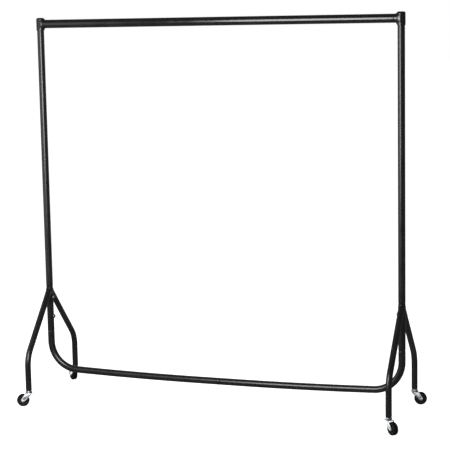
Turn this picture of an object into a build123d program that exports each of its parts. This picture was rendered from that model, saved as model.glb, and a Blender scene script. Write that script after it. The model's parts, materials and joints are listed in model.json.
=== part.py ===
from build123d import *
import os
from math import asin, cos, degrees, radians, sin

os.makedirs("parts", exist_ok=True)

# Rolling clothes rack: a hanging rail carried by two uprights, each plugged into an end
# frame welded from three tubes, with a two-piece bottom rail and four swivel castors.
# Millimetres, +Z up, origin on the floor at the middle of the rack, X along the rails,
# front towards -Y.

# ---------------------------------------------------------------- driving dimensions

SPAN = 1488.0  # between the axes of the two uprights
LEG_SPREAD = 440.0  # between the axes of the front and rear legs
RAIL_Z = 1530.0  # hanging rail axis above the floor
BOTTOM_RAIL_Z = 98.0  # bottom rail axis at its lowest, in the middle
CENTRE_TUBE_TOP = 450.0
CENTRE_TUBE_BOTTOM = 268.0
LEG_MEET_Z = 444.0  # where the leg axes cross the upright axis
KNEE_Z = 200.0  # where the sloping and upright leg axes would cross
CASTOR_TOP = 64.0  # underside of the castor socket

WALL = 1.5  # wall of every tube
RAIL_R = 17.0
UPRIGHT_R = 14.0
LEG_R = 12.0
SPIGOT_R = 12.4  # swaged-down tube end, which enters the next tube
SPIGOT_LENGTH = 75.0
SWAGE_LENGTH = 5.0  # cone between the full tube and its spigot
SEAM = 0.3  # gap left where two tube ends meet
EDGE_BREAK = 0.5
OVERCUT = 1.0  # how far a cutting or trimmed shape runs past the piece

KNEE_BEND_R = 100.0
CORNER_BEND_R = 115.0
BOW_R = 16500.0  # gentle sag of the bottom rail between its corners
BOW_START = 80.0  # straight stretch each side of the middle joint
MOUTH_R = 14.4  # slightly opened mouth of the left bottom rail half
MOUTH_LENGTH = 5.0

# Corner connectors
SLEEVE_R = 16.2
SLEEVE_BOTTOM = 1504.0
SLEEVE_TOP = 1555.0
SLEEVE_BORE_R = 14.1
SLEEVE_ROOF = 7.0
UPRIGHT_HEADROOM = 2.0  # left above the upright, under the roof
COLLAR_END = 30.0  # collar face, from the upright axis
COLLAR_RING = 5.0  # stretch of the collar at the rail's full diameter
COLLAR_NECK_R = 15.0
COLLAR_FLARE = 4.0
NECK_FILLET_R = 5.0
SLEEVE_TOP_R = 6.0
SLEEVE_CHAMFER = 1.2
RAIL_SPIGOT_R = 15.4
RAIL_SPIGOT_LENGTH = 42.0
RAIL_SPIGOT_WALL = 3.0

# Locking bolts on the inner side of the end frames
BOLT_HEIGHTS = (328.0, 408.0)
BOLT_R = 4.0
BOLT_HOLE_R = 4.2
BOLT_HEAD_R = 8.0
BOLT_HEAD_HEIGHT = 6.0
BOLT_FLANGE = 1.4  # straight rim under the domed head
BOLT_CROWN_R = 3.5  # flat face round the key socket
BOLT_DOME_SHARE = 0.72  # of the head's height and radius, where the dome is passed
BOLT_TIP = 0.5  # bolt tip, from the tube axis
BOLT_KEY_FLATS = 5.0
BOLT_KEY_DEPTH = 3.5
NUT_FLATS = 13.0
NUT_OUTER = 7.6  # nut face nearest the tube wall, from the tube axis
NUT_THICKNESS = 6.5

# Weld beads where the legs meet the centre tubes
BEAD_HEIGHT = 2.0
BEAD_WIDTH = 1.6
BEAD_REACH = 80.0  # along the leg axis, past the whole joint
RIM_ROUND = 0.8  # rounded rims of the centre tubes

# Castors
WHEEL_R = 25.0
TRAIL = 24.0  # wheel axle behind the swivel axis
TYRE_HALF_WIDTH = 9.5
TYRE_SHOULDER_R = 4.0
RIM_R = 19.5
RIM_INNER_R = 16.0
RIM_HALF_WIDTH = 8.5
HUB_R = 7.0
HUB_HALF_WIDTH = 10.2
HUB_CHAMFER = 0.8
WEB_HALF_WIDTH = 4.0
WHEEL_DRAFT = 1.2  # slope of the hub's and the rim's inner faces, over their depth
AXLE_R = 3.0
RUNNING_FIT = 0.06  # radial clearance of the wheel on its axle and of the fork on its stem
AXLE_HEAD_R = 5.0
AXLE_HEAD_HEIGHT = 1.6
AXLE_HEAD_TAPER = 35.0
SHEET = 1.8  # pressed steel of the fork
FORK_HALF_GAP = 10.5
FORK_BEND_R = 3.6
CROWN_TOP = 54.8
CROWN_REAR = 13.0
CROWN_FRONT = 14.0
CROWN_LIP = 4.0  # depth of the crown's upright edges
FORK_TIP_R = 7.5
BOSS_R = 11.3
BOSS_HEIGHT = 2.2
BOSS_ROUND = 0.8
BALL_R = 1.75
BALL_RING_R = 8.6
BALL_Z = 58.6
BALL_COUNT = 12
RACE_CLEARANCE = 0.1
CUP_R = 13.0
CUP_SKIRT = 1.3
CUP_PLATE = 1.1
CUP_BOTTOM = 57.4
CUP_BORE_R = 4.3
CUP_ROUND = 1.0
STEM_R = 5.0
STEM_TOP = 102.0
STEM_NECK_R = 4.0
STEM_SHOULDER_R = 8.0
STEM_SHOULDER_BOTTOM = 61.8
STEM_HEAD_R = 6.5
STEM_HEAD_HEIGHT = 2.0
STEM_HEAD_ROUND = 1.2
STEM_CHAMFER = 1.0
STEM_GROOVE_Z = 94.0
STEM_GROOVE_DEPTH = 0.8
STEM_GROOVE_WIDTH = 2.0
SOCKET_R = 10.4
SOCKET_BORE_R = 5.1
SOCKET_TOP = 106.0
SOCKET_FLANGE = 4.0

SIDES = {"left": -1, "right": 1}
ENDS = {"front": -1, "rear": 1}
# Resting direction of each castor, in degrees from +X: the way its wheel trails.
CASTOR_HEADINGS = {
    ("left", "front"): 200.0,
    ("right", "front"): 320.0,
    ("left", "rear"): 140.0,
    ("right", "rear"): 20.0,
}


def finish(piece, label):
    """Label one finished piece and write it to its own STEP file."""
    piece.part.label = label
    export_step(piece.part, f"parts/{label}.step")


def ring(radius, wall=WALL):
    """Draw a tube's cross-section in the open sketch."""
    Circle(radius)
    Circle(radius - wall, mode=Mode.SUBTRACT)


def standing_plane(x, y=0.0):
    """A plane through a vertical axis: its x is the radius and its y is the height."""
    return Plane(origin=(x, y, 0), x_dir=(1, 0, 0), z_dir=(0, -1, 0))


def swaged_end(full_end, spigot_start, spigot_end):
    """Corners of half the section of a tube end that is swaged down to a spigot.

    Heights run from the end of the full-size tube to the tip of the spigot.
    """
    way = 1 if spigot_end > full_end else -1
    return [
        (UPRIGHT_R, full_end),
        (SPIGOT_R, spigot_start),
        (SPIGOT_R, spigot_end - way * EDGE_BREAK),
        (SPIGOT_R - EDGE_BREAK, spigot_end),
        (SPIGOT_R - WALL, spigot_end),
        (SPIGOT_R - WALL, spigot_start),
        (UPRIGHT_R - WALL, full_end),
    ]


# ---------------------------------------------------------------- hanging rail

rail_length = SPAN - 2 * COLLAR_END

with BuildPart() as top_rail:
    with BuildSketch(Plane(origin=(-rail_length / 2, 0, RAIL_Z), z_dir=(1, 0, 0))):
        ring(RAIL_R)
    extrude(amount=rail_length)
    chamfer(top_rail.edges().filter_by(GeomType.CIRCLE).sort_by(SortBy.RADIUS)[-2:], EDGE_BREAK)
finish(top_rail, "top_rail")


# ---------------------------------------------------------------- corner connectors


def make_tee(side, name):
    """Moulded corner: a sleeve over the upright and a collar with a spigot for the rail."""
    x = side * SPAN / 2
    neck_end = COLLAR_END - COLLAR_RING

    def across(distance):
        """A plane square to the rail, at this distance from the upright axis."""
        return Plane(origin=(x - side * distance, 0, RAIL_Z), z_dir=(-side, 0, 0))

    with BuildPart() as tee:
        with BuildSketch(Plane.XY.offset(SLEEVE_BOTTOM)):
            with Locations((x, 0)):
                Circle(SLEEVE_R)
        extrude(amount=SLEEVE_TOP - SLEEVE_BOTTOM)
        with BuildSketch(across(0)):
            Circle(COLLAR_NECK_R)
        extrude(amount=neck_end)
        fillet(tee.edges().filter_by(GeomType.BSPLINE), NECK_FILLET_R)
        fillet(tee.edges().group_by(Axis.Z)[-1], SLEEVE_TOP_R)
        chamfer(tee.edges().group_by(Axis.Z)[0], SLEEVE_CHAMFER)
        with BuildSketch(across(neck_end - COLLAR_FLARE)):
            Circle(COLLAR_NECK_R)
        with BuildSketch(across(neck_end)):
            Circle(RAIL_R)
        loft()
        with BuildSketch(across(neck_end)):
            Circle(RAIL_R)
        extrude(amount=COLLAR_RING)
        with BuildSketch(across(COLLAR_END)):
            Circle(RAIL_SPIGOT_R)
        extrude(amount=RAIL_SPIGOT_LENGTH)
        with BuildSketch(across(COLLAR_END)):
            Circle(RAIL_SPIGOT_R - RAIL_SPIGOT_WALL)
        extrude(amount=RAIL_SPIGOT_LENGTH, mode=Mode.SUBTRACT)
        with BuildSketch(Plane.XY.offset(SLEEVE_BOTTOM)):
            with Locations((x, 0)):
                Circle(SLEEVE_BORE_R)
        extrude(amount=SLEEVE_TOP - SLEEVE_ROOF - SLEEVE_BOTTOM, mode=Mode.SUBTRACT)
    finish(tee, name)


for side_name, side in SIDES.items():
    make_tee(side, f"tee_{side_name}")


# ---------------------------------------------------------------- uprights and end frames


def make_upright(side, name):
    """Straight tube, swaged at its foot to a spigot that enters the centre tube."""
    x = side * SPAN / 2
    full_start = CENTRE_TUBE_TOP + SWAGE_LENGTH
    spigot_start = CENTRE_TUBE_TOP + SEAM
    spigot_end = CENTRE_TUBE_TOP - SPIGOT_LENGTH
    with BuildPart() as upright:
        with BuildSketch(Plane.XY.offset(full_start)):
            with Locations((x, 0)):
                ring(UPRIGHT_R)
        extrude(amount=SLEEVE_TOP - SLEEVE_ROOF - UPRIGHT_HEADROOM - full_start)
        with BuildSketch(standing_plane(x)):
            with BuildLine():
                Polyline(*swaged_end(full_start, spigot_start, spigot_end), close=True)
            make_face()
        revolve(axis=Axis((x, 0, 0), (0, 0, 1)))
        with BuildSketch(Plane(origin=(x, 0, BOLT_HEIGHTS[1]), z_dir=(-side, 0, 0))):
            Circle(BOLT_HOLE_R)
        extrude(amount=UPRIGHT_R, mode=Mode.SUBTRACT)
    finish(upright, name)


def make_centre_tube(side, name):
    """Post of the end frame: the upright enters its top and the bottom rail its foot."""
    x = side * SPAN / 2
    with BuildPart() as centre_tube:
        with BuildSketch(Plane.XY.offset(CENTRE_TUBE_BOTTOM)):
            with Locations((x, 0)):
                ring(UPRIGHT_R)
        extrude(amount=CENTRE_TUBE_TOP - CENTRE_TUBE_BOTTOM)
        rims = centre_tube.edges().filter_by(GeomType.CIRCLE).sort_by(SortBy.RADIUS)[-2:]
        fillet(rims, RIM_ROUND)
        for height in BOLT_HEIGHTS:
            with BuildSketch(Plane(origin=(x, 0, height), z_dir=(-side, 0, 0))):
                Circle(BOLT_HOLE_R)
            extrude(amount=UPRIGHT_R + OVERCUT, mode=Mode.SUBTRACT)
    finish(centre_tube, name)


def make_leg(side, end, name):
    """Bent leg tube, coped to the centre tube at its top and upright below the knee."""
    x = side * SPAN / 2
    foot_y = end * LEG_SPREAD / 2
    with BuildPart() as leg:
        with BuildLine(Plane(origin=(x, 0, 0), x_dir=(0, 1, 0), z_dir=(1, 0, 0))) as route:
            FilletPolyline(
                (0, LEG_MEET_Z),
                (foot_y, KNEE_Z),
                (foot_y, CASTOR_TOP + SOCKET_FLANGE),
                radius=KNEE_BEND_R,
            )
        with BuildSketch(Plane(origin=route.line @ 0, z_dir=route.line % 0)):
            ring(LEG_R)
        sweep(path=route.line)
        with BuildSketch(Plane.XY.offset(CENTRE_TUBE_BOTTOM)):
            with Locations((x, 0)):
                Circle(UPRIGHT_R)
        extrude(amount=SLEEVE_BOTTOM - CENTRE_TUBE_BOTTOM, mode=Mode.SUBTRACT)
    finish(leg, name)


def make_leg_welds(side, name):
    """The two weld beads that run round the coped leg ends on one centre tube."""
    x = side * SPAN / 2
    top = Vector(x, 0, LEG_MEET_Z)
    with BuildPart() as welds:
        for end in ENDS.values():
            slope = Vector(0, end * LEG_SPREAD / 2, KNEE_Z - LEG_MEET_Z)
            with BuildSketch(Plane(origin=top, z_dir=slope)):
                Circle(LEG_R + BEAD_WIDTH)
                Circle(LEG_R, mode=Mode.SUBTRACT)
            extrude(amount=BEAD_REACH)
        with BuildSketch(Plane.XY.offset(CENTRE_TUBE_BOTTOM)):
            with Locations((x, 0)):
                Circle(UPRIGHT_R + BEAD_HEIGHT)
        extrude(amount=CENTRE_TUBE_TOP - RIM_ROUND - CENTRE_TUBE_BOTTOM, mode=Mode.INTERSECT)
        with BuildSketch(Plane.XY.offset(CENTRE_TUBE_BOTTOM)):
            with Locations((x, 0)):
                Circle(UPRIGHT_R)
        extrude(amount=CENTRE_TUBE_TOP - CENTRE_TUBE_BOTTOM, mode=Mode.SUBTRACT)
    finish(welds, name)


for side_name, side in SIDES.items():
    make_upright(side, f"upright_{side_name}")
    make_centre_tube(side, f"centre_tube_{side_name}")
    make_leg_welds(side, f"leg_welds_{side_name}")
    for end_name, end in ENDS.items():
        make_leg(side, end, f"leg_{end_name}_{side_name}")


# ---------------------------------------------------------------- bottom rail

bow_run = SPAN / 2 - CORNER_BEND_R - BOW_START
bow_angle = degrees(asin(bow_run / (BOW_R - CORNER_BEND_R)))


def make_bottom_rail(side, name):
    """One half of the bottom rail, with its outer end bent up into the centre tube."""
    x = side * SPAN / 2
    swage_foot = CENTRE_TUBE_BOTTOM - SWAGE_LENGTH
    spigot_tip = CENTRE_TUBE_BOTTOM + SPIGOT_LENGTH
    has_mouth = side == SIDES["left"]
    start = MOUTH_LENGTH if has_mouth else SWAGE_LENGTH
    with BuildPart() as half:
        with BuildLine(Plane.XZ) as route:
            straight = Line((side * start, BOTTOM_RAIL_Z), (side * BOW_START, BOTTOM_RAIL_Z))
            bow = JernArc(straight @ 1, straight % 1, BOW_R, side * bow_angle)
            corner = JernArc(bow @ 1, bow % 1, CORNER_BEND_R, side * (90 - bow_angle))
            Line(corner @ 1, (x, swage_foot))
        with BuildSketch(Plane(origin=route.line @ 0, z_dir=route.line % 0)):
            ring(UPRIGHT_R)
        sweep(path=route.line)
        with BuildSketch(standing_plane(x)):
            with BuildLine():
                Polyline(*swaged_end(swage_foot, swage_foot + SWAGE_LENGTH - SEAM, spigot_tip), close=True)
            make_face()
        revolve(axis=Axis((x, 0, 0), (0, 0, 1)))
        if has_mouth:
            with BuildSketch(Plane(origin=(side * SEAM, 0, BOTTOM_RAIL_Z), z_dir=(side, 0, 0))):
                Circle(MOUTH_R)
                Circle(UPRIGHT_R - WALL, mode=Mode.SUBTRACT)
            extrude(amount=MOUTH_LENGTH - SEAM)
        else:
            with BuildSketch(
                Plane(origin=(0, 0, BOTTOM_RAIL_Z), x_dir=(0, 0, 1), z_dir=(0, 1, 0))
            ):
                with BuildLine():
                    Polyline(*swaged_end(SWAGE_LENGTH, SEAM, -SPIGOT_LENGTH), close=True)
                make_face()
            revolve(axis=Axis((0, 0, BOTTOM_RAIL_Z), (1, 0, 0)))
        with BuildSketch(Plane(origin=(x, 0, BOLT_HEIGHTS[0]), z_dir=(-side, 0, 0))):
            Circle(BOLT_HOLE_R)
        extrude(amount=UPRIGHT_R, mode=Mode.SUBTRACT)
    finish(half, name)


for side_name, side in SIDES.items():
    make_bottom_rail(side, f"bottom_rail_{side_name}")


# ---------------------------------------------------------------- locking bolts and nuts

bolt_sites = [(side, height) for side in SIDES.values() for height in BOLT_HEIGHTS]

with BuildPart() as locking_bolts:
    for side, height in bolt_sites:
        x = side * SPAN / 2
        seat = x - side * UPRIGHT_R
        with BuildSketch(Plane(origin=(x - side * BOLT_TIP, 0, height), z_dir=(-side, 0, 0))):
            Circle(BOLT_R)
        extrude(amount=UPRIGHT_R - BOLT_TIP)
        with BuildSketch(Plane(origin=(seat, 0, height), x_dir=(-side, 0, 0), z_dir=(0, -side, 0))):
            with BuildLine():
                foot = Line((0, 0), (0, BOLT_HEAD_R))
                flange = Line(foot @ 1, (BOLT_FLANGE, BOLT_HEAD_R))
                dome = ThreePointArc(
                    flange @ 1,
                    (BOLT_HEAD_HEIGHT * BOLT_DOME_SHARE, BOLT_HEAD_R * BOLT_DOME_SHARE),
                    (BOLT_HEAD_HEIGHT, BOLT_CROWN_R),
                )
                crown = Line(dome @ 1, (BOLT_HEAD_HEIGHT, 0))
                Line(crown @ 1, foot @ 0)
            make_face()
        revolve(axis=Axis((seat, 0, height), (1, 0, 0)))
        with BuildSketch(
            Plane(origin=(seat - side * BOLT_HEAD_HEIGHT, 0, height), z_dir=(side, 0, 0))
        ):
            RegularPolygon(BOLT_KEY_FLATS / 2, 6, major_radius=False)
        extrude(amount=BOLT_KEY_DEPTH, mode=Mode.SUBTRACT)
finish(locking_bolts, "locking_bolts")

with BuildPart() as spigot_nuts:
    for side, height in bolt_sites:
        x = side * SPAN / 2
        with BuildSketch(Plane(origin=(x - side * NUT_OUTER, 0, height), z_dir=(side, 0, 0))):
            RegularPolygon(NUT_FLATS / 2, 6, major_radius=False)
            Circle(BOLT_R, mode=Mode.SUBTRACT)
        extrude(amount=NUT_THICKNESS)
finish(spigot_nuts, "spigot_nuts")


# ---------------------------------------------------------------- castors


def make_castor(corner, x, y, heading):
    """One swivel castor: socket, stem and cup stay with the leg; fork and wheel turn."""
    way = Vector(cos(radians(heading)), sin(radians(heading)), 0)
    across = Vector(sin(radians(heading)), -cos(radians(heading)), 0)
    swivel_axis = Axis((x, y, 0), (0, 0, 1))
    level = Plane(origin=(x, y, 0), x_dir=way, z_dir=(0, 0, 1))
    flank = Plane(origin=(x, y, 0), x_dir=way, z_dir=across)
    hub_centre = Vector(x, y, WHEEL_R) + way * TRAIL
    axle_axis = Axis(hub_centre, across)
    edgewise = Plane(origin=hub_centre, x_dir=across, z_dir=way)

    with BuildPart() as socket:
        with BuildSketch(level.offset(CASTOR_TOP)):
            Circle(LEG_R)
        extrude(amount=SOCKET_FLANGE)
        fillet(socket.edges().group_by(Axis.Z)[0], SOCKET_FLANGE / 2)
        with BuildSketch(level.offset(CASTOR_TOP + SOCKET_FLANGE)):
            Circle(SOCKET_R)
        extrude(amount=SOCKET_TOP - CASTOR_TOP - SOCKET_FLANGE)
        with BuildSketch(level.offset(CASTOR_TOP)):
            Circle(SOCKET_BORE_R)
        extrude(amount=SOCKET_TOP - CASTOR_TOP, mode=Mode.SUBTRACT)
    finish(socket, f"castor_socket_{corner}")

    with BuildPart() as stem:
        with BuildSketch(level.offset(CASTOR_TOP)):
            Circle(STEM_R)
        extrude(amount=STEM_TOP - CASTOR_TOP)
        chamfer(stem.edges().group_by(Axis.Z)[-1], STEM_CHAMFER)
        with BuildSketch(level.offset(STEM_GROOVE_Z)):
            Circle(STEM_R)
            Circle(STEM_R - STEM_GROOVE_DEPTH, mode=Mode.SUBTRACT)
        extrude(amount=STEM_GROOVE_WIDTH, mode=Mode.SUBTRACT)
        with BuildSketch(level.offset(STEM_SHOULDER_BOTTOM)):
            Circle(STEM_SHOULDER_R)
        extrude(amount=CASTOR_TOP - STEM_SHOULDER_BOTTOM)
        neck_bottom = CROWN_TOP - SHEET - SEAM
        with BuildSketch(level.offset(neck_bottom)):
            Circle(STEM_NECK_R)
        extrude(amount=STEM_SHOULDER_BOTTOM - neck_bottom)
        with BuildSketch(level.offset(neck_bottom - STEM_HEAD_HEIGHT)):
            Circle(STEM_HEAD_R)
        extrude(amount=STEM_HEAD_HEIGHT)
        fillet(stem.edges().group_by(Axis.Z)[0], STEM_HEAD_ROUND)
    finish(stem, f"castor_stem_{corner}")

    with BuildPart() as cup:
        with BuildSketch(level.offset(CUP_BOTTOM)):
            Circle(CUP_R)
        extrude(amount=STEM_SHOULDER_BOTTOM - CUP_BOTTOM)
        fillet(cup.edges().group_by(Axis.Z)[-1], CUP_ROUND)
        with BuildSketch(level.offset(CUP_BOTTOM)):
            Circle(CUP_R - CUP_SKIRT)
        extrude(amount=STEM_SHOULDER_BOTTOM - CUP_PLATE - CUP_BOTTOM, mode=Mode.SUBTRACT)
        with BuildSketch(level.offset(CUP_BOTTOM)):
            Circle(CUP_BORE_R)
        extrude(amount=STEM_SHOULDER_BOTTOM - CUP_BOTTOM, mode=Mode.SUBTRACT)
    finish(cup, f"castor_cup_{corner}")

    with BuildPart() as balls:
        with Locations(level.offset(BALL_Z)):
            with PolarLocations(BALL_RING_R, BALL_COUNT):
                Sphere(BALL_R)
    finish(balls, f"castor_balls_{corner}")

    axle = Vector(TRAIL, WHEEL_R)
    with BuildPart() as fork:
        # a sheet folded over the wheel, seen from the front
        with BuildSketch(Plane(origin=(x, y, 0), x_dir=across, z_dir=way)):
            RectangleRounded(2 * (FORK_HALF_GAP + SHEET), 2 * CROWN_TOP, FORK_BEND_R)
            RectangleRounded(
                2 * FORK_HALF_GAP,
                2 * (CROWN_TOP - SHEET),
                FORK_BEND_R - SHEET,
                mode=Mode.SUBTRACT,
            )
        extrude(amount=TRAIL + FORK_TIP_R + OVERCUT, both=True)
        # its side outline, from the crown down to the rounded tip round the axle
        with BuildSketch(flank):
            with BuildLine():
                Polyline(
                    (-CROWN_REAR, CROWN_TOP - CROWN_LIP),
                    (-CROWN_REAR, CROWN_TOP),
                    (CROWN_FRONT, CROWN_TOP),
                    (CROWN_FRONT, CROWN_TOP - CROWN_LIP),
                    close=True,
                )
            make_face()
            with Locations((axle.X, axle.Y)):
                Circle(FORK_TIP_R)
            make_hull()
        extrude(amount=FORK_HALF_GAP + SHEET, both=True, mode=Mode.INTERSECT)
        with BuildSketch(level.offset(CROWN_TOP)):
            Circle(BOSS_R)
        extrude(amount=BOSS_HEIGHT)
        fillet(fork.edges().group_by(Axis.Z)[-1], BOSS_ROUND)
        with BuildSketch(level.offset(CROWN_TOP - SHEET)):
            Circle(STEM_NECK_R + RUNNING_FIT)
        extrude(amount=SHEET + BOSS_HEIGHT, mode=Mode.SUBTRACT)
        with BuildSketch(Plane(origin=hub_centre, z_dir=across)):
            Circle(AXLE_R)
        extrude(amount=FORK_HALF_GAP + SHEET, both=True, mode=Mode.SUBTRACT)
        with BuildSketch(flank):
            with Locations((BALL_RING_R, BALL_Z)):
                Circle(BALL_R + RACE_CLEARANCE)
        revolve(axis=swivel_axis, mode=Mode.SUBTRACT)
    finish(fork, f"castor_fork_{corner}")

    with BuildPart() as axle_rivet:
        with BuildSketch(Plane(origin=hub_centre, z_dir=across)):
            Circle(AXLE_R)
        extrude(amount=FORK_HALF_GAP + SHEET, both=True)
        for end in ENDS.values():
            face = hub_centre + across * (end * (FORK_HALF_GAP + SHEET))
            with BuildSketch(Plane(origin=face, z_dir=across * end)):
                Circle(AXLE_HEAD_R)
            extrude(amount=AXLE_HEAD_HEIGHT, taper=AXLE_HEAD_TAPER)
    finish(axle_rivet, f"castor_axle_{corner}")

    with BuildPart() as wheel:
        with BuildSketch(edgewise):
            with BuildLine():
                Polyline(
                    (-HUB_HALF_WIDTH, AXLE_R + RUNNING_FIT),
                    (HUB_HALF_WIDTH, AXLE_R + RUNNING_FIT),
                    (HUB_HALF_WIDTH, HUB_R - HUB_CHAMFER),
                    (HUB_HALF_WIDTH - HUB_CHAMFER, HUB_R),
                    (WEB_HALF_WIDTH, HUB_R + WHEEL_DRAFT),
                    (WEB_HALF_WIDTH, RIM_INNER_R - WHEEL_DRAFT),
                    (RIM_HALF_WIDTH, RIM_INNER_R),
                    (RIM_HALF_WIDTH, RIM_R),
                    (-RIM_HALF_WIDTH, RIM_R),
                    (-RIM_HALF_WIDTH, RIM_INNER_R),
                    (-WEB_HALF_WIDTH, RIM_INNER_R - WHEEL_DRAFT),
                    (-WEB_HALF_WIDTH, HUB_R + WHEEL_DRAFT),
                    (HUB_CHAMFER - HUB_HALF_WIDTH, HUB_R),
                    (-HUB_HALF_WIDTH, HUB_R - HUB_CHAMFER),
                    close=True,
                )
            make_face()
        revolve(axis=axle_axis)
    finish(wheel, f"castor_wheel_{corner}")

    with BuildPart() as tyre:
        with BuildSketch(edgewise):
            with Locations((0, (WHEEL_R + RIM_R) / 2)):
                section = Rectangle(2 * TYRE_HALF_WIDTH, WHEEL_R - RIM_R)
            fillet(section.vertices().group_by(Axis.Y)[-1], TYRE_SHOULDER_R)
        revolve(axis=axle_axis)
    finish(tyre, f"castor_tyre_{corner}")


for (side_name, end_name), heading in CASTOR_HEADINGS.items():
    make_castor(
        f"{end_name}_{side_name}",
        SIDES[side_name] * SPAN / 2,
        ENDS[end_name] * LEG_SPREAD / 2,
        heading,
    )
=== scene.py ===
import json
from math import asin, ceil, cos, pi, radians, sin, sqrt, tan

import bmesh
import bpy
import numpy as np
from bpy.props import FloatProperty, FloatVectorProperty, IntProperty, PointerProperty
from mathutils import Matrix, Vector

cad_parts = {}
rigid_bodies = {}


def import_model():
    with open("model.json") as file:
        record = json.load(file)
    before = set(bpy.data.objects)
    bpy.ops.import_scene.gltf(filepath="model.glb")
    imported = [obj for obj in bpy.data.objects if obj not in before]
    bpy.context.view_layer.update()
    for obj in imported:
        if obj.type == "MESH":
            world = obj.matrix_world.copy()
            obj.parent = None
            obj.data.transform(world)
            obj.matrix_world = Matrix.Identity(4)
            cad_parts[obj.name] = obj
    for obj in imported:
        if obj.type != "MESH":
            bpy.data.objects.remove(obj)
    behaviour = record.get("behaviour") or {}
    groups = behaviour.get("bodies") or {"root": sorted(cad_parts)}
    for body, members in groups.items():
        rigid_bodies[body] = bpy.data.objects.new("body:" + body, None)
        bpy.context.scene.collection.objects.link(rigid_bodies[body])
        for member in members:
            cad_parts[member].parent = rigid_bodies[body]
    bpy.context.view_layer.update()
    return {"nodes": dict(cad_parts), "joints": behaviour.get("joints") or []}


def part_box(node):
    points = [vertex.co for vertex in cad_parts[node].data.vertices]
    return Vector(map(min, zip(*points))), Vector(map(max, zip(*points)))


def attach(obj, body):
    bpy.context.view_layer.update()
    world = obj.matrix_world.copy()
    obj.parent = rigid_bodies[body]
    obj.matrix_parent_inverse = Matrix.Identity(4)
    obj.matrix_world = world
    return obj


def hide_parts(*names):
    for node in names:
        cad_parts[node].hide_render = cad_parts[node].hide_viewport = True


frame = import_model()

bl_info = {
    "name": "Rolling clothes rack",
    "version": (1, 0, 0),
    "blender": (4, 5, 0),
    "location": "View3D > Sidebar > Clothes rack",
    "description": "Builds a rolling clothes rack of painted steel tube round its CAD frame",
    "category": "Object",
}

# A clothes rack of black powder-coated steel tube. Metres, +Z up, the origin on the floor under
# the middle of the hanging rail, X along the rails and the front towards -Y.

MM = 0.001
SIDES = {"left": -1, "right": 1}
ENDS = {"front": -1, "rear": 1}
CORNERS = [f"{end}_{side}" for side in SIDES for end in ENDS]
Z_AXIS = Vector((0, 0, 1))

# ------------------------------------------------------------------ places read from the frame


def middle(node):
    """Middle of a CAD node's box."""
    low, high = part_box(node)
    return (low + high) / 2


def half(node, axis):
    """Half of a CAD node's size along one axis, 0 to 2."""
    low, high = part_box(node)
    return (high - low)[axis] / 2


def joint_named(name):
    """A joint of the frame."""
    return next(joint for joint in frame["joints"] if joint["name"] == name)


RAIL_Z = middle("top_rail").z
RAIL_RADIUS = half("top_rail", 2)
RAIL_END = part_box("top_rail")[1].x
UPRIGHT_X = middle("upright_right").x
UPRIGHT_RADIUS = half("upright_right", 1)
UPRIGHT_TIP, UPRIGHT_TOP = (corner.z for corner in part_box("upright_right"))
POST_BOTTOM, POST_TOP = (corner.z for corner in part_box("centre_tube_right"))
LEG_RADIUS = half("leg_rear_right", 0)
LEG_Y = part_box("leg_rear_right")[1].y - LEG_RADIUS
LEG_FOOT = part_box("leg_rear_right")[0].z
BOTTOM_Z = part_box("bottom_rail_right")[0].z + UPRIGHT_RADIUS
BOTTOM_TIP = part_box("bottom_rail_right")[1].z
SLEEVE_BOTTOM, SLEEVE_TOP = (corner.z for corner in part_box("tee_right"))
BOLT_LOW, BOLT_HIGH = (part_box("locking_bolts")[end].z for end in (0, 1))


# ------------------------------------------------------------------ colours and user settings


def linear(hex_colour):
    """Linear RGB of an sRGB hex colour."""
    values = [int(hex_colour[start : start + 2], 16) / 255 for start in (1, 3, 5)]
    return [v / 12.92 if v <= 0.04045 else ((v + 0.055) / 1.055) ** 2.4 for v in values]


def length(name, description, default):
    """A length property, in metres."""
    look = {"precision": 4, "subtype": "DISTANCE", "unit": "LENGTH"}
    return FloatProperty(name=name, description=description, default=default, min=0, **look)


def colour(name, description, hex_colour):
    """A colour property with its default given in sRGB."""
    look = {"size": 3, "min": 0, "max": 1, "subtype": "COLOR"}
    return FloatVectorProperty(name=name, description=description, default=linear(hex_colour), **look)


class RackSizes(bpy.types.PropertyGroup):
    """Sizes of the tube work that its boxes alone don't give."""

    wall: length("Tube wall", "Wall thickness of every tube", 1.5 * MM)
    rim_round: length("Rim rounding", "Rounding of cut tube ends", 0.4 * MM)
    post_round: length("Post rounding", "Rounding of the posts' ends", 0.7 * MM)
    spigot_radius: length("Spigot radius", "Outside radius of a swaged tube end", 12.4 * MM)
    swage_length: length("Swage length", "Length of the cone before a spigot", 5 * MM)
    spigot_length: length("Spigot length", "How far a spigot enters the next tube", 75 * MM)
    seam: length("Seam", "Gap where two tube ends meet", 0.3 * MM)
    knee_height: length("Knee height", "Where the two straight parts of a leg would cross", 200 * MM)
    meet_height: length("Meeting height", "Where the leg axes cross the upright axis", 444 * MM)
    knee_bend: length("Knee bend", "Bend radius of the legs", 100 * MM)
    corner_bend: length("Corner bend", "Bend radius of the bottom rail's corners", 115 * MM)
    bow_radius: length("Bow radius", "Radius of the bottom rail's gentle bow", 16.5)
    bow_start: length("Bow start", "Straight stretch each side of the middle joint", 80 * MM)
    mouth_radius: length("Mouth radius", "Opened mouth of the left bottom rail half", 14.4 * MM)
    mouth_length: length("Mouth length", "Length of the opened mouth", 5 * MM)
    bolt_hole: length("Bolt hole radius", "Radius of the holes for the locking bolts", 4.2 * MM)
    tube_sides: IntProperty(name="Tube sides", description="Faces round a tube", default=72, min=12)


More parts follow.
